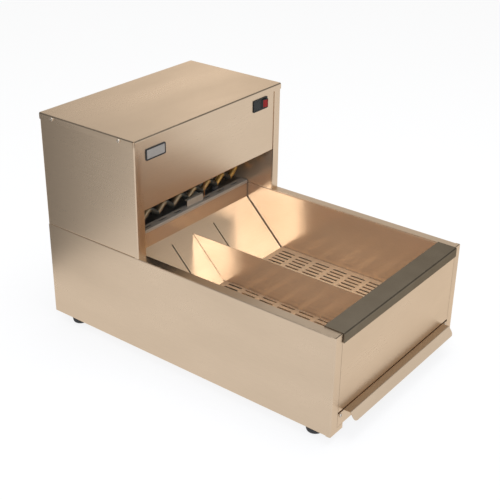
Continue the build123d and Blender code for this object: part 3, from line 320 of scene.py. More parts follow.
@dataclass(frozen=True)
class DullMetal:
    """Metal with an even fine texture, whether plated, bare, painted or sooty."""

    name: str
    colour: Colour
    shade: Colour
    rough: float
    metallic: float = 1.0
    rough_spread: tuple[float, float] = (-0.06, 0.08)
    flecks_per_m: float = 500.0
    fleck_bump: float = 0.08
    fleck_height: float = 0.0003
    clouds_per_m: float = 22.0
    edge: Colour = (1.0, 1.0, 1.0)
    # Painted shade on the sheet's bends, from 0 to 1.
    painted_bend_shade: float = 0.0

    def material(self) -> bpy.types.Material:
        """Build the material."""
        graph = Graph.for_material(self.name)
        flecks = graph.noise([self.flecks_per_m] * 3, detail=3.0, rough=0.6)
        clouds = graph.noise([self.clouds_per_m] * 3, detail=3.0, rough=0.5)
        base = graph.blend(graph.spread(clouds, 0.0, 1.0), self.colour, self.shade)
        # Painted shade along the bends, in the base colour.
        if self.painted_bend_shade:
            base = graph.paint_shade_on_bends(base, self.painted_bend_shade)
        rough = graph.spread(flecks, *(self.rough + more for more in self.rough_spread))
        return graph.finish(Base_Color=base, Metallic=self.metallic, Roughness=rough,
                            Normal=graph.bump(flecks, self.fleck_bump, self.fleck_height),
                            Specular_Tint=self.edge)


@dataclass(frozen=True)
class Moulded:
    """Moulded plastic, rubber or glazed ceramic."""

    name: str
    colour: Colour
    shade: Colour
    rough: float
    gloss: float = 0.5
    rough_spread: tuple[float, float] = (-0.05, 0.08)
    pores_per_m: float = 900.0
    pore_bump: float = 0.12
    pore_height: float = 0.0002
    dust_per_m: float = 60.0

    def material(self) -> bpy.types.Material:
        """Build the material."""
        graph = Graph.for_material(self.name)
        pores = graph.noise([self.pores_per_m] * 3, detail=2.0, rough=0.5)
        dust = graph.noise([self.dust_per_m] * 3, detail=4.0, rough=0.6)
        base = graph.blend(graph.spread(dust, 0.0, 1.0), self.colour, self.shade)
        rough = graph.spread(dust, *(self.rough + more for more in self.rough_spread))
        return graph.finish(Base_Color=base, Roughness=rough, Specular_IOR_Level=self.gloss,
                            Normal=graph.bump(pores, self.pore_bump, self.pore_height))


@dataclass(frozen=True)
class SheathWithPaintedLight:
    """Sheath of a heating element: pale runs with a painted golden reflection that grows towards +X, taking
    turns with runs of painted shade, under burnt mottles.
    """

    name: str
    # Painted golden reflection on the runs towards +X.
    painted_reflection: Colour = (0.74, 0.44, 0.12)
    pale: Colour = (0.40, 0.33, 0.23)
    # Painted shade on every other run.
    dark: Colour = (0.075, 0.085, 0.078)
    burnt: Colour = (0.10, 0.09, 0.08)
    pitch: float = 0.048
    start: float = 0.024
    turn_from: float = 0.42
    turn_until: float = 0.56
    reflection_least: float = 0.15
    reflection_from: float = 0.02
    reflection_over: float = 0.10
    mottles_per_m: float = 130.0
    mottle_share: float = 0.35
    mottle_bump: float = 0.15
    mottle_height: float = 0.0003
    rough: tuple[float, float] = (0.32, 0.5)
    metallic: float = 0.75

    def material(self) -> bpy.types.Material:
        """Build the material."""
        graph = Graph.for_material(self.name)
        coords = graph.add("ShaderNodeTexCoord").outputs["Object"]
        along = graph.add("ShaderNodeSeparateXYZ", {0: coords}).outputs["X"]
        runs = graph.math("DIVIDE", graph.math("ADD", along, self.start), self.pitch)
        # Share of painted shade: every other run along X.
        share = graph.add("ShaderNodeValToRGB", {0: graph.math("FRACT", runs)})
        share.color_ramp.elements[0].position = self.turn_from
        share.color_ramp.elements[1].position = self.turn_until
        # Share of the painted golden reflection, growing towards +X.
        reflection_until = self.reflection_from + self.reflection_over
        reflection_share = graph.spread(along, self.reflection_least, 1.0, self.reflection_from, reflection_until)
        mottle = graph.noise([self.mottles_per_m] * 3, detail=4.0, rough=0.6)
        # Pale runs with painted reflection, taking turns with runs of painted shade.
        base = graph.blend(share.outputs[0], graph.blend(reflection_share, self.pale, self.painted_reflection), self.dark)
        base = graph.blend(graph.spread(mottle, 0.0, self.mottle_share), base, self.burnt)
        return graph.finish(Base_Color=base, Metallic=self.metallic,
                            Roughness=graph.spread(mottle, *self.rough),
                            Normal=graph.bump(mottle, self.mottle_bump, self.mottle_height))


@dataclass(frozen=True)
class RedLens:
    """Dark red ribbed lens of the power switch."""

    name: str
    colour: Colour = (0.20, 0.008, 0.008)
    rib_colour: Colour = (0.30, 0.012, 0.010)
    ribs_per_m: Point = (1400.0, 60.0, 60.0)
    rib_bump: float = 0.2
    rib_height: float = 0.0003
    rough: float = 0.3
    gloss: float = 0.2

    def material(self) -> bpy.types.Material:
        """Build the material."""
        graph = Graph.for_material(self.name)
        ribs = graph.noise(self.ribs_per_m, detail=1.0, rough=0.4)
        base = graph.blend(graph.spread(ribs, 0.0, 1.0), self.colour, self.rib_colour)
        return graph.finish(Base_Color=base, Roughness=self.rough, Specular_IOR_Level=self.gloss,
                            Normal=graph.bump(ribs, self.rib_bump, self.rib_height))


class Palette:
    """Every finish of the object, by name."""

    def __init__(self) -> None:
        """List the finishes; a material is built when it is first asked for."""
        outer = {"colour": (0.645, 0.51, 0.38), "shade": (0.602, 0.476, 0.352), "edge": (1.0, 0.85, 0.70)}
        liner = {"colour": (0.70, 0.51, 0.33), "shade": (0.64, 0.455, 0.285), "rough": 0.18,
                 "rough_swing": 0.012, "metallic": 0.6, "brushing": 0.2, "wave_bump": 0.4,
                 "line_bump": 0.0004}
        across = {**liner, "rough": 0.23}
        floor = {**liner, "rough": 0.42, "metallic": 0.5}
        finishes = (
            BrushedSteel("side_skin", Grain.ALONG_Y, **outer),
            BrushedSteel("front_skin", Grain.ALONG_X, **outer),
            BrushedSteel("tower_skin", Grain.ALONG_Y, **outer),
            # The cover's bends get painted shade.
            BrushedSteel("cover_skin", Grain.ALONG_X, painted_bend_shade=0.55, **outer),
            BrushedSteel("liner_side", Grain.ALONG_Y, **liner),
            BrushedSteel("liner_across", Grain.ALONG_X, **across),
            BrushedSteel("screen", Grain.ALONG_X, **floor),
            DullMetal("zinc", (0.45, 0.44, 0.41), (0.33, 0.32, 0.30), rough=0.42),
            DullMetal("zinc_light", (0.50, 0.42, 0.32), (0.42, 0.36, 0.28), rough=0.45, metallic=0.2),
            DullMetal("soot", (0.07, 0.065, 0.055), (0.10, 0.09, 0.08), rough=0.6, metallic=0.2),
            DullMetal("plated", (0.60, 0.52, 0.43), (0.50, 0.43, 0.35), rough=0.26, fleck_bump=0.03),
            # The rail's bends get painted shade.
            DullMetal("rail", (0.215, 0.18, 0.134), (0.19, 0.158, 0.117), rough=0.40, metallic=0.85,
                      edge=(0.3, 0.25, 0.2), painted_bend_shade=0.6),
            DullMetal("wheel", (0.60, 0.60, 0.58), (0.48, 0.48, 0.46), rough=0.38),
            DullMetal("shaft", (0.55, 0.54, 0.52), (0.48, 0.47, 0.45), rough=0.25),
            DullMetal("copper", (0.58, 0.32, 0.18), (0.45, 0.24, 0.13), rough=0.32),
            DullMetal("motor", (0.035, 0.035, 0.038), (0.05, 0.05, 0.05), rough=0.45, metallic=0.2),
            DullMetal("badge_plate", (0.012, 0.012, 0.013), (0.018, 0.018, 0.019), rough=0.42, metallic=0.0,
                      fleck_bump=0.03),
            DullMetal("badge_field", (0.42, 0.40, 0.37), (0.34, 0.325, 0.30), rough=0.36, metallic=0.6),
            Moulded("ceramic", (0.70, 0.66, 0.58), (0.60, 0.56, 0.48), rough=0.6),
            Moulded("rubber", (0.018, 0.018, 0.019), (0.03, 0.029, 0.028), rough=0.62),
            Moulded("gloss_black", (0.010, 0.011, 0.010), (0.016, 0.017, 0.016), rough=0.26, gloss=0.22),
            Moulded("matt_black", (0.02, 0.02, 0.021), (0.03, 0.03, 0.03), rough=0.5),
            Moulded("sleeve", (0.28, 0.05, 0.04), (0.2, 0.035, 0.03), rough=0.55),
            SheathWithPaintedLight("element"),
            RedLens("lens"),
        )
        self.finishes = {finish.name: finish for finish in finishes}
        self.built: dict[str, bpy.types.Material] = {}

    def get(self, name: str) -> bpy.types.Material:
        """The material of a finish, built on first use.

        Args:
            name: The finish's name.

        Returns:
            Its material.
        """
        if name not in self.built:
            self.built[name] = self.finishes[name].material()
        return self.built[name]


def dress(node: bpy.types.Object, material: bpy.types.Material) -> None:
    """Give a carried-over node one finish all over.

    Args:
        node: The node's object.
        material: Its finish.
    """
    node.data.materials.clear()
    node.data.materials.append(material)
    for polygon in node.data.polygons:
        polygon.material_index = 0


def add_object(name: str, data: bpy.types.ID) -> bpy.types.Object:
    """Make an object and put it in the scene.

    Args:
        name: The object's name.
        data: Its mesh, light or camera.

    Returns:
        The new object.
    """
    made = bpy.data.objects.new(name, data)
    bpy.context.scene.collection.objects.link(made)
    return made


def new_piece(name: str, mesh_maker: Callable[[bmesh.types.BMesh], None], material: bpy.types.Material,
              body: str) -> bpy.types.Object:
    """Make a piece from a bmesh and let it ride on a body.

    Args:
        name: The piece's name.
        mesh_maker: Fills the bmesh, in metres in the shared frame.
        material: The piece's finish.
        body: The body it rides on.

    Returns:
        The new object.
    """
    shape = bmesh.new()
    mesh_maker(shape)
    bmesh.ops.recalc_face_normals(shape, faces=shape.faces)
    mesh = bpy.data.meshes.new(name)
    shape.to_mesh(mesh)
    shape.free()
    mesh.materials.append(material)
    piece = add_object(name, mesh)
    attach(piece, body)
    LOG.info("piece %s rides on %s", name, body)
    return piece


def front_skin() -> Vector:
    """The point of the front skin's face that is on the floor and midway across, in the shared frame."""
    return Vector((0.0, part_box("front_panel")[0].y, 0.0))


def place_at(x: float, y: float, z: float) -> Vector:
    """A place in the shared frame, given in millimetres from the middle, the front skin and the floor."""
    return Vector((x, y, z)) * MM + front_skin()


def box_in_mm(node: str) -> tuple[Vector, Vector]:
    """Corners of a node, in millimetres from the middle, the front skin and the floor."""
    low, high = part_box(node)
    return (low - front_skin()) / MM, (high - front_skin()) / MM


def ring(shape: bmesh.types.BMesh, corners: Outline, height: float, stand: Matrix) -> Row:
    """Add a closed row of points at a height.

    Args:
        shape: The bmesh to add to.
        corners: X and Y of the points in millimetres.
        height: Their Z in millimetres.
        stand: Where the piece stands, in metres.

    Returns:
        The new vertices.
    """
    return [shape.verts.new(stand @ (Vector((x, y, height)) * MM)) for x, y in corners]


def neighbours(row: Row) -> list[tuple[bmesh.types.BMVert, bmesh.types.BMVert]]:
    """Each point of a closed row with the next one."""
    return list(zip(row, row[1:] + row[:1]))


def skin(shape: bmesh.types.BMesh, rows: Sequence[Row], closed: bool = False) -> None:
    """Join neighbouring rows of points with four-sided faces.

    Args:
        shape: The bmesh to add to.
        rows: Rows with the same number of points.
        closed: Whether the last row joins the first.
    """
    pairs = list(zip(rows, rows[1:])) + ([(rows[-1], rows[0])] if closed else [])
    for low, high in pairs:
        for (low_near, low_far), (high_near, high_far) in zip(neighbours(low), neighbours(high)):
            shape.faces.new((low_near, low_far, high_far, high_near))


def lathe(shape: bmesh.types.BMesh, outline: Outline, stand: Matrix, sides: int = 40,
          closed: bool = False) -> list[Row]:
    """Turn an outline of radius and height round the upright axis.

    Args:
        shape: The bmesh to add to.
        outline: Radius and height of each point in millimetres.
        stand: Where the piece stands, in metres.
        sides: Number of sides.
        closed: Whether the outline is a closed loop.

    Returns:
        The rows of vertices, one for each point of the outline.
    """
    turns = [math.tau * i / sides for i in range(sides)]
    rows = []
    for radius, height in outline:
        corners = [(radius * math.cos(turn), radius * math.sin(turn)) for turn in turns]
        rows.append(ring(shape, corners, height, stand))
    skin(shape, rows, closed)
    return rows


def soften(piece: bpy.types.Object) -> None:
    """Shade a piece smooth and keep its sharp corners."""
    for polygon in piece.data.polygons:
        polygon.use_smooth = True
    piece.data.set_sharp_from_angle(angle=math.radians(SHARP_ANGLE))


@dataclass(frozen=True)
class PanScrew:
    """Pan-head screw with a cross recess; its head's seat is at zero and its head points along +Z."""

    head: float = 7.9
    tall: float = 2.15
    flat_share: float = 0.66
    skirt_share: float = 0.35
    dome_turns: tuple[int, ...] = (0, 22, 45, 68, 90)
    shank: float = 3.9
    length: float = 9.0
    thread_pitch: float = 0.7
    thread_depth: float = 0.28
    thread_start: float = 0.6
    recess_reach: float = 2.05
    recess_half_width: float = 0.5
    recess_depth: float = 1.25
    recess_taper: float = 0.55

    def cross(self, shrink: float) -> Outline:
        """Twelve corners of the recess.

        Args:
            shrink: The factor by which it is drawn in.

        Returns:
            The corners in millimetres.
        """
        long, short = self.recess_reach * shrink, self.recess_half_width * shrink
        arm = [(long, -short), (long, short), (short, short)]
        corners = []
        for quarter in range(4):
            sine, cosine = math.sin(math.pi / 2 * quarter), math.cos(math.pi / 2 * quarter)
            corners += [(x * cosine - y * sine, x * sine + y * cosine) for x, y in arm]
        return corners

    def build(self, shape: bmesh.types.BMesh, stand: Matrix) -> None:
        """Add one screw.

        Args:
            shape: The bmesh to add to.
            stand: Where the head's seat is, with +Z out of the head.
        """
        radius, flat = self.head / 2, self.head / 2 * self.flat_share
        skirt = self.tall * self.skirt_share
        dome = [(flat + (radius - flat) * math.sin(math.radians(turn)),
                 skirt + (self.tall - skirt) * math.cos(math.radians(turn))) for turn in self.dome_turns]
        step = self.thread_pitch / 2
        thread = [(self.shank / 2 - (self.thread_depth if i % 2 else 0.0),
                   -self.thread_pitch * self.thread_start - i * step)
                  for i in range(int((self.length - self.thread_pitch) / step))]
        rows = lathe(shape, dome + [(radius, 0.0), (self.shank / 2, 0.0)] + thread, stand)
        shape.faces.new(rows[-1])
        rim = ring(shape, self.cross(1.0), self.tall, stand)
        pit = ring(shape, self.cross(self.recess_taper), self.tall - self.recess_depth, stand)
        skin(shape, [rim, pit])
        shape.faces.new(pit)
        border = [shape.edges.get(pair) or shape.edges.new(pair)
                  for row in (rows[0], rim) for pair in neighbours(row)]
        bmesh.ops.triangle_fill(shape, use_beauty=True, edges=border)


@dataclass(frozen=True)
class RubberFoot:
    """Ribbed rubber foot with a sunk hole for its screw, standing on the floor."""

    top_radius: float = 18.9
    bottom_radius: float = 16.2
    height: float = 17.9
    rib_pitch: float = 3.2
    rib_depth: float = 0.7
    first_rib: float = 2.0
    lowest_rib: float = 4.5
    groove_drops: tuple[float, float, float] = (0.5, 1.1, 1.6)
    groove_step: float = 0.1
    heel: float = 1.6
    heel_inset: float = 0.5
    rim: float = 0.6
    sole: float = 0.05
    hole_radius: float = 5.4
    hole_depth: float = 10.0
    shank_radius: float = 2.7
    sides: int = 56

    def build(self, shape: bmesh.types.BMesh, stand: Matrix) -> None:
        """Add one foot.

        Args:
            shape: The bmesh to add to.
            stand: Where the foot stands on the floor.
        """
        outline = [(self.shank_radius, self.height), (self.top_radius, self.height)]
        fall = (self.top_radius - self.bottom_radius) / self.height
        into, along, out = self.groove_drops
        z = self.height - self.first_rib
        while z > self.lowest_rib:
            edge = self.top_radius - (self.height - z) * fall
            inner = edge - self.rib_depth
            outline += [(edge, z), (inner, z - into), (inner, z - along), (edge - self.groove_step, z - out)]
            z -= self.rib_pitch
        outline += [(self.bottom_radius, self.heel), (self.bottom_radius - self.heel_inset, self.rim),
                    (self.bottom_radius - self.heel, self.sole), (self.hole_radius + self.rim, self.sole),
                    (self.hole_radius, self.rim), (self.hole_radius, self.hole_depth),
                    (self.shank_radius, self.hole_depth)]
        lathe(shape, outline, stand, self.sides, closed=True)


@dataclass(frozen=True)
class RoundedPlate:
    """Flat plate with round corners and a fine border groove, with its face towards +Z."""

    width: float
    tall: float
    corner: float
    thick: float
    groove: float
    edge: float = 0.15
    groove_width: float = 0.55
    groove_side: float = 0.1
    groove_depth: float = 0.15
    least_corner: float = 0.05
    corner_steps: int = 6

    def outline(self, inset: float) -> Outline:
        """Corners of the plate.

        Args:
            inset: How far they are drawn in, in millimetres.

        Returns:
            The corners in millimetres.
        """
        radius = max(self.corner - inset, self.least_corner)
        reach_x, reach_y = self.width / 2 - inset - radius, self.tall / 2 - inset - radius
        points = []
        for quarter, (sign_x, sign_y) in enumerate(((1, 1), (-1, 1), (-1, -1), (1, -1))):
            for step in range(self.corner_steps + 1):
                turn = math.radians(90 * quarter + 90 / self.corner_steps * step)
                points.append((sign_x * reach_x + radius * math.cos(turn),
                               sign_y * reach_y + radius * math.sin(turn)))
        return points

    def build(self, shape: bmesh.types.BMesh, stand: Matrix) -> None:
        """Add the plate.

        Args:
            shape: The bmesh to add to.
            stand: Where the middle of its back is, with +Z out of its face.
        """
        near, far = self.groove, self.groove + self.groove_width
        levels = ((0.0, self.thick), (0.0, self.edge), (self.edge, 0.0), (near, 0.0),
                  (near + self.groove_side, self.groove_depth), (far - self.groove_side, self.groove_depth),
                  (far, 0.0))
        rows = [ring(shape, self.outline(inset), self.thick - drop, stand) for inset, drop in levels]
        skin(shape, rows)
        shape.faces.new(rows[0])
        shape.faces.new(rows[-1])


class Facing(Enum):
    """Which way a fastener's head or a plate's face points."""

    LEFT = (-1.0, 0.0, 0.0)
    RIGHT = (1.0, 0.0, 0.0)
    FRONT = (0.0, -1.0, 0.0)
    BACK = (0.0, 1.0, 0.0)

    def stand(self, place: Vector, twist: float = 0.0) -> Matrix:
        """Matrix that puts +Z along this direction at a place.

        Args:
            place: The place, in metres.
            twist: Turn round the direction, in degrees.

        Returns:
            The matrix.
        """
        aim = Vector(self.value).to_track_quat("Z", "Y").to_matrix().to_4x4()
        return Matrix.Translation(place) @ aim @ Matrix.Rotation(math.radians(twist), 4, "Z")


@dataclass(frozen=True)
class ScrewSet:
    """Like screws that stand in for one carried-over node, at places as place_at takes them."""

    node: str
    screw: PanScrew
    places: tuple[tuple[float, float, float, Facing], ...]
    first_twist: float = 17.0
    next_twist: float = 47.0

    def mesh(self, shape: bmesh.types.BMesh) -> None:
        """Add every screw of the set, each turned a little differently."""
        for count, (x, y, z, facing) in enumerate(self.places):
            twist = self.first_twist + self.next_twist * count
            self.screw.build(shape, facing.stand(place_at(x, y, z), twist))

    def build(self, palette: Palette, body: str) -> None:
        """Make the piece and let it stand in for its node.

        Args:
            palette: The finishes.
            body: The body that the screws ride on.
        """
        piece = new_piece(self.node + "_detailed", self.mesh, palette.get("plated"), body)
        soften(piece)
        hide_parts(self.node)


@dataclass
class Coat:
    """Which finish some carried-over nodes get; nodes that a piece stands in for have no coat."""

    finish: str
    nodes: tuple[str, ...]


@dataclass
class Assembly:
    """A group of carried-over nodes with their coats, and with pieces of its own in some sub-classes."""

    palette: Palette
    nodes: dict[str, bpy.types.Object]
    coats: list[Coat] = field(default_factory=list)

    def dress_nodes(self) -> None:
        """Give every shown node of the group its finish."""
        for coat in self.coats:
            for name in coat.nodes:
                dress(self.nodes[name], self.palette.get(coat.finish))
                LOG.info("node %s has finish %s", name, coat.finish)

    def build(self) -> None:
        """Dress the group; sub-classes add their own pieces."""
        self.dress_nodes()


@dataclass
class Base(Assembly):
    """Folded skins of the base, its pan, feet and the dark front rail."""

    coats: list[Coat] = field(default_factory=lambda: [
        Coat("side_skin", ("left_side_panel", "right_side_panel")),
        Coat("front_skin", ("base_rear_panel", "front_panel")),
        Coat("zinc", ("bottom_pan",)),
        Coat("rail", ("front_rail",)),
        Coat("plated", ("foot_screws", "foot_nuts")),
    ])
    foot: RubberFoot = RubberFoot()
    foot_x: float = 203.0
    foot_rows: tuple[float, float] = (49.0, 662.0)

    def feet_mesh(self, shape: bmesh.types.BMesh) -> None:
        """Add the four feet."""
        for x in (-self.foot_x, self.foot_x):
            for y in self.foot_rows:
                self.foot.build(shape, Matrix.Translation(place_at(x, y, 0.0)))

    def build(self) -> None:
        """Dress the skins and add the ribbed feet."""
        self.dress_nodes()
        rubber = self.palette.get("rubber")
        piece = new_piece("feet_ribbed", self.feet_mesh, rubber, "housing")
        soften(piece)
        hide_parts("feet")


@dataclass
class Bin(Assembly):
    """Inner sheets of the bin with its screen and divider."""

    coats: list[Coat] = field(default_factory=lambda: [
        Coat("liner_side", ("left_bin_wall", "right_bin_wall", "screen_ledges", "divider")),
        Coat("liner_across", ("bin_front_wall", "sloped_back", "air_wall")),
        Coat("zinc_light", ("air_ledge", "probe_guard")),
        Coat("screen", ("floor_screen",)),
    ])


@dataclass
class CrumbTray(Assembly):
    """Tray, its handle and runners, and the handle's screws."""

    coats: list[Coat] = field(default_factory=lambda: [
        Coat("liner_across", ("crumb_tray",)),
        Coat("front_skin", ("tray_handle",)),
        Coat("zinc", ("left_tray_runner", "right_tray_runner")),
    ])
    screw: PanScrew = PanScrew(length=4.4)
    screw_x: float = 198.0
    screw_z: float = 51.0

    def build(self) -> None:
        """Dress the tray and add its handle's screws."""
        self.dress_nodes()
        places = tuple((x, 0.0, self.screw_z, Facing.FRONT) for x in (-self.screw_x, self.screw_x))
        ScrewSet("tray_handle_screws", self.screw, places).build(self.palette, "crumb_tray")


@dataclass
class Tower(Assembly):
    """Skins of the tower and their screws."""

    coats: list[Coat] = field(default_factory=lambda: [
        Coat("tower_skin", ("left_tower_side", "right_tower_side")),
        Coat("front_skin", ("tower_front_panel", "tower_rear_panel")),
        Coat("cover_skin", ("top_cover",)),
        Coat("matt_black", ("cord_gland",)),
    ])
    screw: PanScrew = PanScrew()
    cover_rows: tuple[float, ...] = (494.0, 674.0)
    cover_z: float = 464.0
    rear_x: float = 208.35
    rear_rows: tuple[float, ...] = (248.0, 342.15, 436.3)

    def build(self) -> None:
        """Dress the skins and add the screws of the cover and the rear panel."""
        self.dress_nodes()
        cover_low, cover_high = box_in_mm("top_cover")
        cover = tuple((x, y, self.cover_z, facing)
                      for x, facing in ((cover_low.x, Facing.LEFT), (cover_high.x, Facing.RIGHT))
                      for y in self.cover_rows)
        ScrewSet("cover_screws", self.screw, cover).build(self.palette, "housing")
        rear_y = box_in_mm("tower_rear_panel")[1].y
        rear = tuple((x, rear_y, z, Facing.BACK)
                     for x in (-self.rear_x, self.rear_x) for z in self.rear_rows)
        ScrewSet("rear_panel_screws", self.screw, rear).build(self.palette, "housing")


@dataclass
class AirSystem(Assembly):
    """Blowers, ducts and heating element behind the hot-air mouth."""

    coats: list[Coat] = field(default_factory=lambda: [
        Coat("liner_side", ("left_duct_side", "right_duct_side")),
        Coat("zinc", ("plenum_back", "intake_deck", "motor_deck", "left_intake_ring", "right_intake_ring")),
        Coat("wheel", ("left_blower_wheel", "right_blower_wheel")),
        Coat("shaft", ("left_motor_shaft", "right_motor_shaft")),
        Coat("motor", ("left_blower_motor", "right_blower_motor")),
        Coat("plated", ("motor_screws",)),
        Coat("element", ("heating_element",)),
        Coat("soot", ("element_rests",)),
        Coat("ceramic", ("element_bushings",)),
    ])


@dataclass
class Controls(Assembly):
    """Power switch, name plate, thermostat and wiring."""

    coats: list[Coat] = field(default_factory=lambda: [
        Coat("gloss_black", ("switch_body", "switch_rocker")),
        Coat("lens", ("switch_lens",)),
        Coat("badge_plate", ("badge_plate",)),
        Coat("matt_black", ("thermostat", "high_limit")),
        Coat("shaft", ("thermostat_spindle",)),
        Coat("copper", ("thermostat_bulb",)),
        Coat("ceramic", ("terminal_block",)),
        Coat("sleeve", ("wiring",)),
    ])
    badge: RoundedPlate = RoundedPlate(width=49.2, tall=17.7, corner=1.4, thick=0.38, groove=1.2)
    badge_recess: float = 0.5

    def badge_mesh(self, shape: bmesh.types.BMesh) -> None:
        """Add the blank field in the recess of the name plate."""
        low, high = box_in_mm("badge_plate")
        place = place_at((low.x + high.x) / 2, low.y + self.badge_recess, (low.z + high.z) / 2)
        self.badge.build(shape, Facing.FRONT.stand(place))

    def build(self) -> None:
        """Dress the controls and set the blank field into the name plate."""
        self.dress_nodes()
        metal = self.palette.get("badge_field")
        piece = new_piece("badge_field", self.badge_mesh, metal, "housing")
        soften(piece)


@dataclass(frozen=True)
class Lamp:
    """A soft area lamp."""

    name: str
    place: Point
    target: Point
    size: float
    watts: float
    colour: Colour = (1.0, 1.0, 1.0)


@dataclass(frozen=True)
class Card:
    """An upright studio card that only reflections show, shaded from one end to the other."""

    name: str
    start: Point
    end: Point
    height: float
    start_shade: float
    end_shade: float
    colour: Colour = (1.0, 1.0, 1.0)


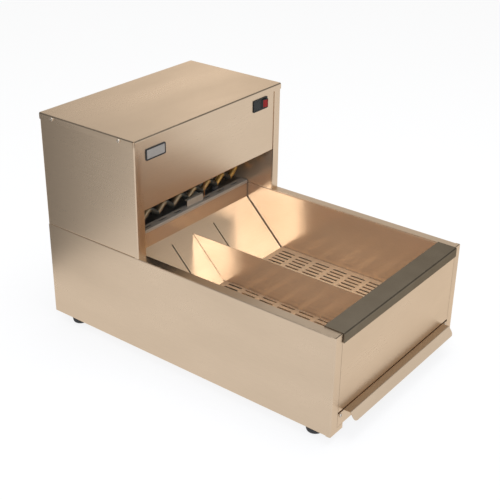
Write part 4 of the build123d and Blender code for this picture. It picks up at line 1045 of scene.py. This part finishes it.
@dataclass
class Studio:
    """Floor, surroundings, lamps, cards and camera."""

    camera_place: Point = (-1.4628, -1.0941, 1.1392)
    azimuth: float = 52.853
    elevation: float = 27.396
    roll: float = 0.933
    focal_pixels: float = 1000.5
    frame_pixels: float = 500.0
    sensor_width: float = 36.0
    clip: tuple[float, float] = (0.05, 100.0)
    floor_half: float = 30.0
    floor_shade: float = 0.86
    floor_white: float = 0.82
    light_shade: float = 0.80
    ceiling: tuple[tuple[float, float], ...] = (
        (0.28, 1.0), (0.42, 0.80), (0.52, 0.58), (0.62, 0.38), (0.76, 0.2), (0.9, 0.5), (1.0, 0.9))
    lamps: tuple[Lamp, ...] = (
        Lamp("key_lamp", (-2.3, -1.45, 1.95), (0.0, 0.0, 0.2), size=0.95, watts=28.0,
             colour=(0.82, 1.04, 1.5)),
        Lamp("top_lamp", (0.2, -0.3, 2.5), (0.0, 0.0, 0.2), size=1.5, watts=30.0),
    )
    cards: tuple[Card, ...] = (
        Card("left_card", (-0.30, 0.55, 0.0), (-0.95, 0.55, 0.0), height=0.6, start_shade=0.16,
             end_shade=0.98),
        Card("back_card", (0.3, 2.5, 0.8), (3.2, 2.5, 0.8), height=1.6, start_shade=0.05,
             end_shade=1.4, colour=(0.97, 0.98, 1.0)),
    )

    @staticmethod
    def white_where_seen(graph: Graph, share: float) -> bpy.types.NodeSocket:
        """Share of white that camera rays get; mirror and see-through rays get all of it.

        Args:
            graph: The node tree to add to.
            share: The camera rays' share.

        Returns:
            The share for each ray.
        """
        rays = graph.add("ShaderNodeLightPath").outputs
        seen = graph.math("MULTIPLY", rays["Is Camera Ray"], share)
        seen = graph.math("MAXIMUM", seen, rays["Is Glossy Ray"])
        return graph.math("MAXIMUM", seen, rays["Is Transmission Ray"])

    @staticmethod
    def flat_sheet(name: str, corners: Sequence[Sequence[float]], graph: Graph) -> bpy.types.Object:
        """Add a sheet with four corners.

        Args:
            name: The sheet's name.
            corners: Its corners in order.
            graph: The node tree of its material.

        Returns:
            The sheet.
        """
        mesh = bpy.data.meshes.new(name)
        mesh.from_pydata(corners, [], [(0, 1, 2, 3)])
        mesh.materials.append(graph.owner)
        return add_object(name, mesh)

    def floor(self) -> None:
        """Lay a pale floor that looks white and keeps a shadow."""
        graph = Graph.for_material("floor")
        plain = graph.add("ShaderNodeBsdfDiffuse", {"Color": grey(self.floor_shade)})
        white = graph.add("ShaderNodeEmission", {"Color": grey(1.0), "Strength": 1.0})
        share = self.white_where_seen(graph, self.floor_white)
        graph.show(graph.add("ShaderNodeMixShader", {0: share, 1: plain.outputs[0], 2: white.outputs[0]}))
        half = self.floor_half
        corners = [(x, y, 0) for x, y in ((-half, -half), (half, -half), (half, half), (-half, half))]
        ground = self.flat_sheet("floor", corners, graph)

    def surroundings(self) -> None:
        """Plain pale surroundings: white to the camera, with a greyer ceiling in reflections."""
        world = bpy.data.worlds.new("surroundings")
        bpy.context.scene.world = world
        graph = Graph(world)
        coords = graph.add("ShaderNodeTexCoord").outputs["Generated"]
        upright = graph.add("ShaderNodeSeparateXYZ", {0: coords}).outputs["Z"]
        ceiling = graph.add("ShaderNodeValToRGB", {0: upright})
        stops = ceiling.color_ramp.elements
        while len(stops) < len(self.ceiling):
            stops.new(0.5)  # Each stop gets its own place below.
        for stop, (height, shade) in zip(stops, self.ceiling):
            stop.position = height
            stop.color = grey(shade)
        camera_ray = graph.add("ShaderNodeLightPath").outputs["Is Camera Ray"]
        strength = graph.math("MAXIMUM", camera_ray, ceiling.outputs["Color"])
        light = graph.add("ShaderNodeBackground", {"Color": grey(self.light_shade)})
        seen = graph.add("ShaderNodeBackground", {"Color": grey(1.0), "Strength": strength})
        share = self.white_where_seen(graph, 1.0)
        graph.show(graph.add("ShaderNodeMixShader", {0: share, 1: light.outputs[0], 2: seen.outputs[0]}))

    def stand_cards(self) -> None:
        """Stand the cards up; only reflections show them, and they cast no shadow."""
        for card in self.cards:
            graph = Graph.for_material(card.name)
            coords = graph.add("ShaderNodeTexCoord").outputs["UV"]
            along = graph.add("ShaderNodeSeparateXYZ", {0: coords}).outputs["X"]
            shade = graph.spread(along, card.start_shade, card.end_shade, 0.0, 1.0)
            glow = graph.add("ShaderNodeEmission", {"Color": graph.colour(card.colour), "Strength": shade})
            graph.show(glow)
            start, end, rise = Vector(card.start), Vector(card.end), Vector((0.0, 0.0, card.height))
            holder = self.flat_sheet(card.name, [start, end, end + rise, start + rise], graph)
            layer = holder.data.uv_layers.new(name="ends")
            for corner, place in zip(layer.data, ((0, 0), (1, 0), (1, 1), (0, 1))):
                corner.uv = place
            for rays in ("camera", "diffuse", "transmission", "volume_scatter", "shadow"):
                setattr(holder, "visible_" + rays, False)

    def hang_lamps(self) -> None:
        """Add the soft lamps."""
        for lamp in self.lamps:
            data = bpy.data.lights.new(lamp.name, "AREA")
            data.shape = "SQUARE"
            data.size = lamp.size
            data.energy = lamp.watts
            data.color = lamp.colour
            holder = add_object(lamp.name, data)
            holder.location = lamp.place
            away = Vector(lamp.target) - Vector(lamp.place)
            holder.rotation_euler = away.to_track_quat("-Z", "Y").to_euler()
            holder.visible_camera = False

    def camera(self) -> None:
        """Set the camera."""
        azimuth, elevation, roll = (math.radians(turn) for turn in (self.azimuth, self.elevation, self.roll))
        forward = Vector((math.sin(azimuth) * math.cos(elevation), math.cos(azimuth) * math.cos(elevation),
                          -math.sin(elevation)))
        right = forward.cross(Vector((0, 0, 1))).normalized()
        up = right.cross(forward)
        rolled_right = right * math.cos(roll) + up * math.sin(roll)
        rolled_up = up * math.cos(roll) - right * math.sin(roll)
        data = bpy.data.cameras.new("camera")
        data.sensor_width = self.sensor_width
        data.lens = self.focal_pixels / self.frame_pixels * self.sensor_width
        data.clip_start, data.clip_end = self.clip
        holder = add_object("camera", data)
        axes = Matrix((rolled_right, rolled_up, -forward)).transposed()
        holder.matrix_world = Matrix.Translation(self.camera_place) @ axes.to_4x4()
        bpy.context.scene.camera = holder

    def build(self) -> None:
        """Set up the whole studio."""
        bpy.context.scene.view_settings.view_transform = "Standard"
        self.camera()
        self.floor()
        self.surroundings()
        self.hang_lamps()
        self.stand_cards()


def main() -> None:
    """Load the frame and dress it."""
    logging.basicConfig(level=logging.INFO, format="%(message)s")
    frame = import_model()
    Studio().build()
    palette = Palette()
    for group in (Base, Bin, CrumbTray, Tower, AirSystem, Controls):
        group(palette, frame["nodes"]).build()
        LOG.info("built %s", group.__name__)


if __name__ == "__main__":
    main()
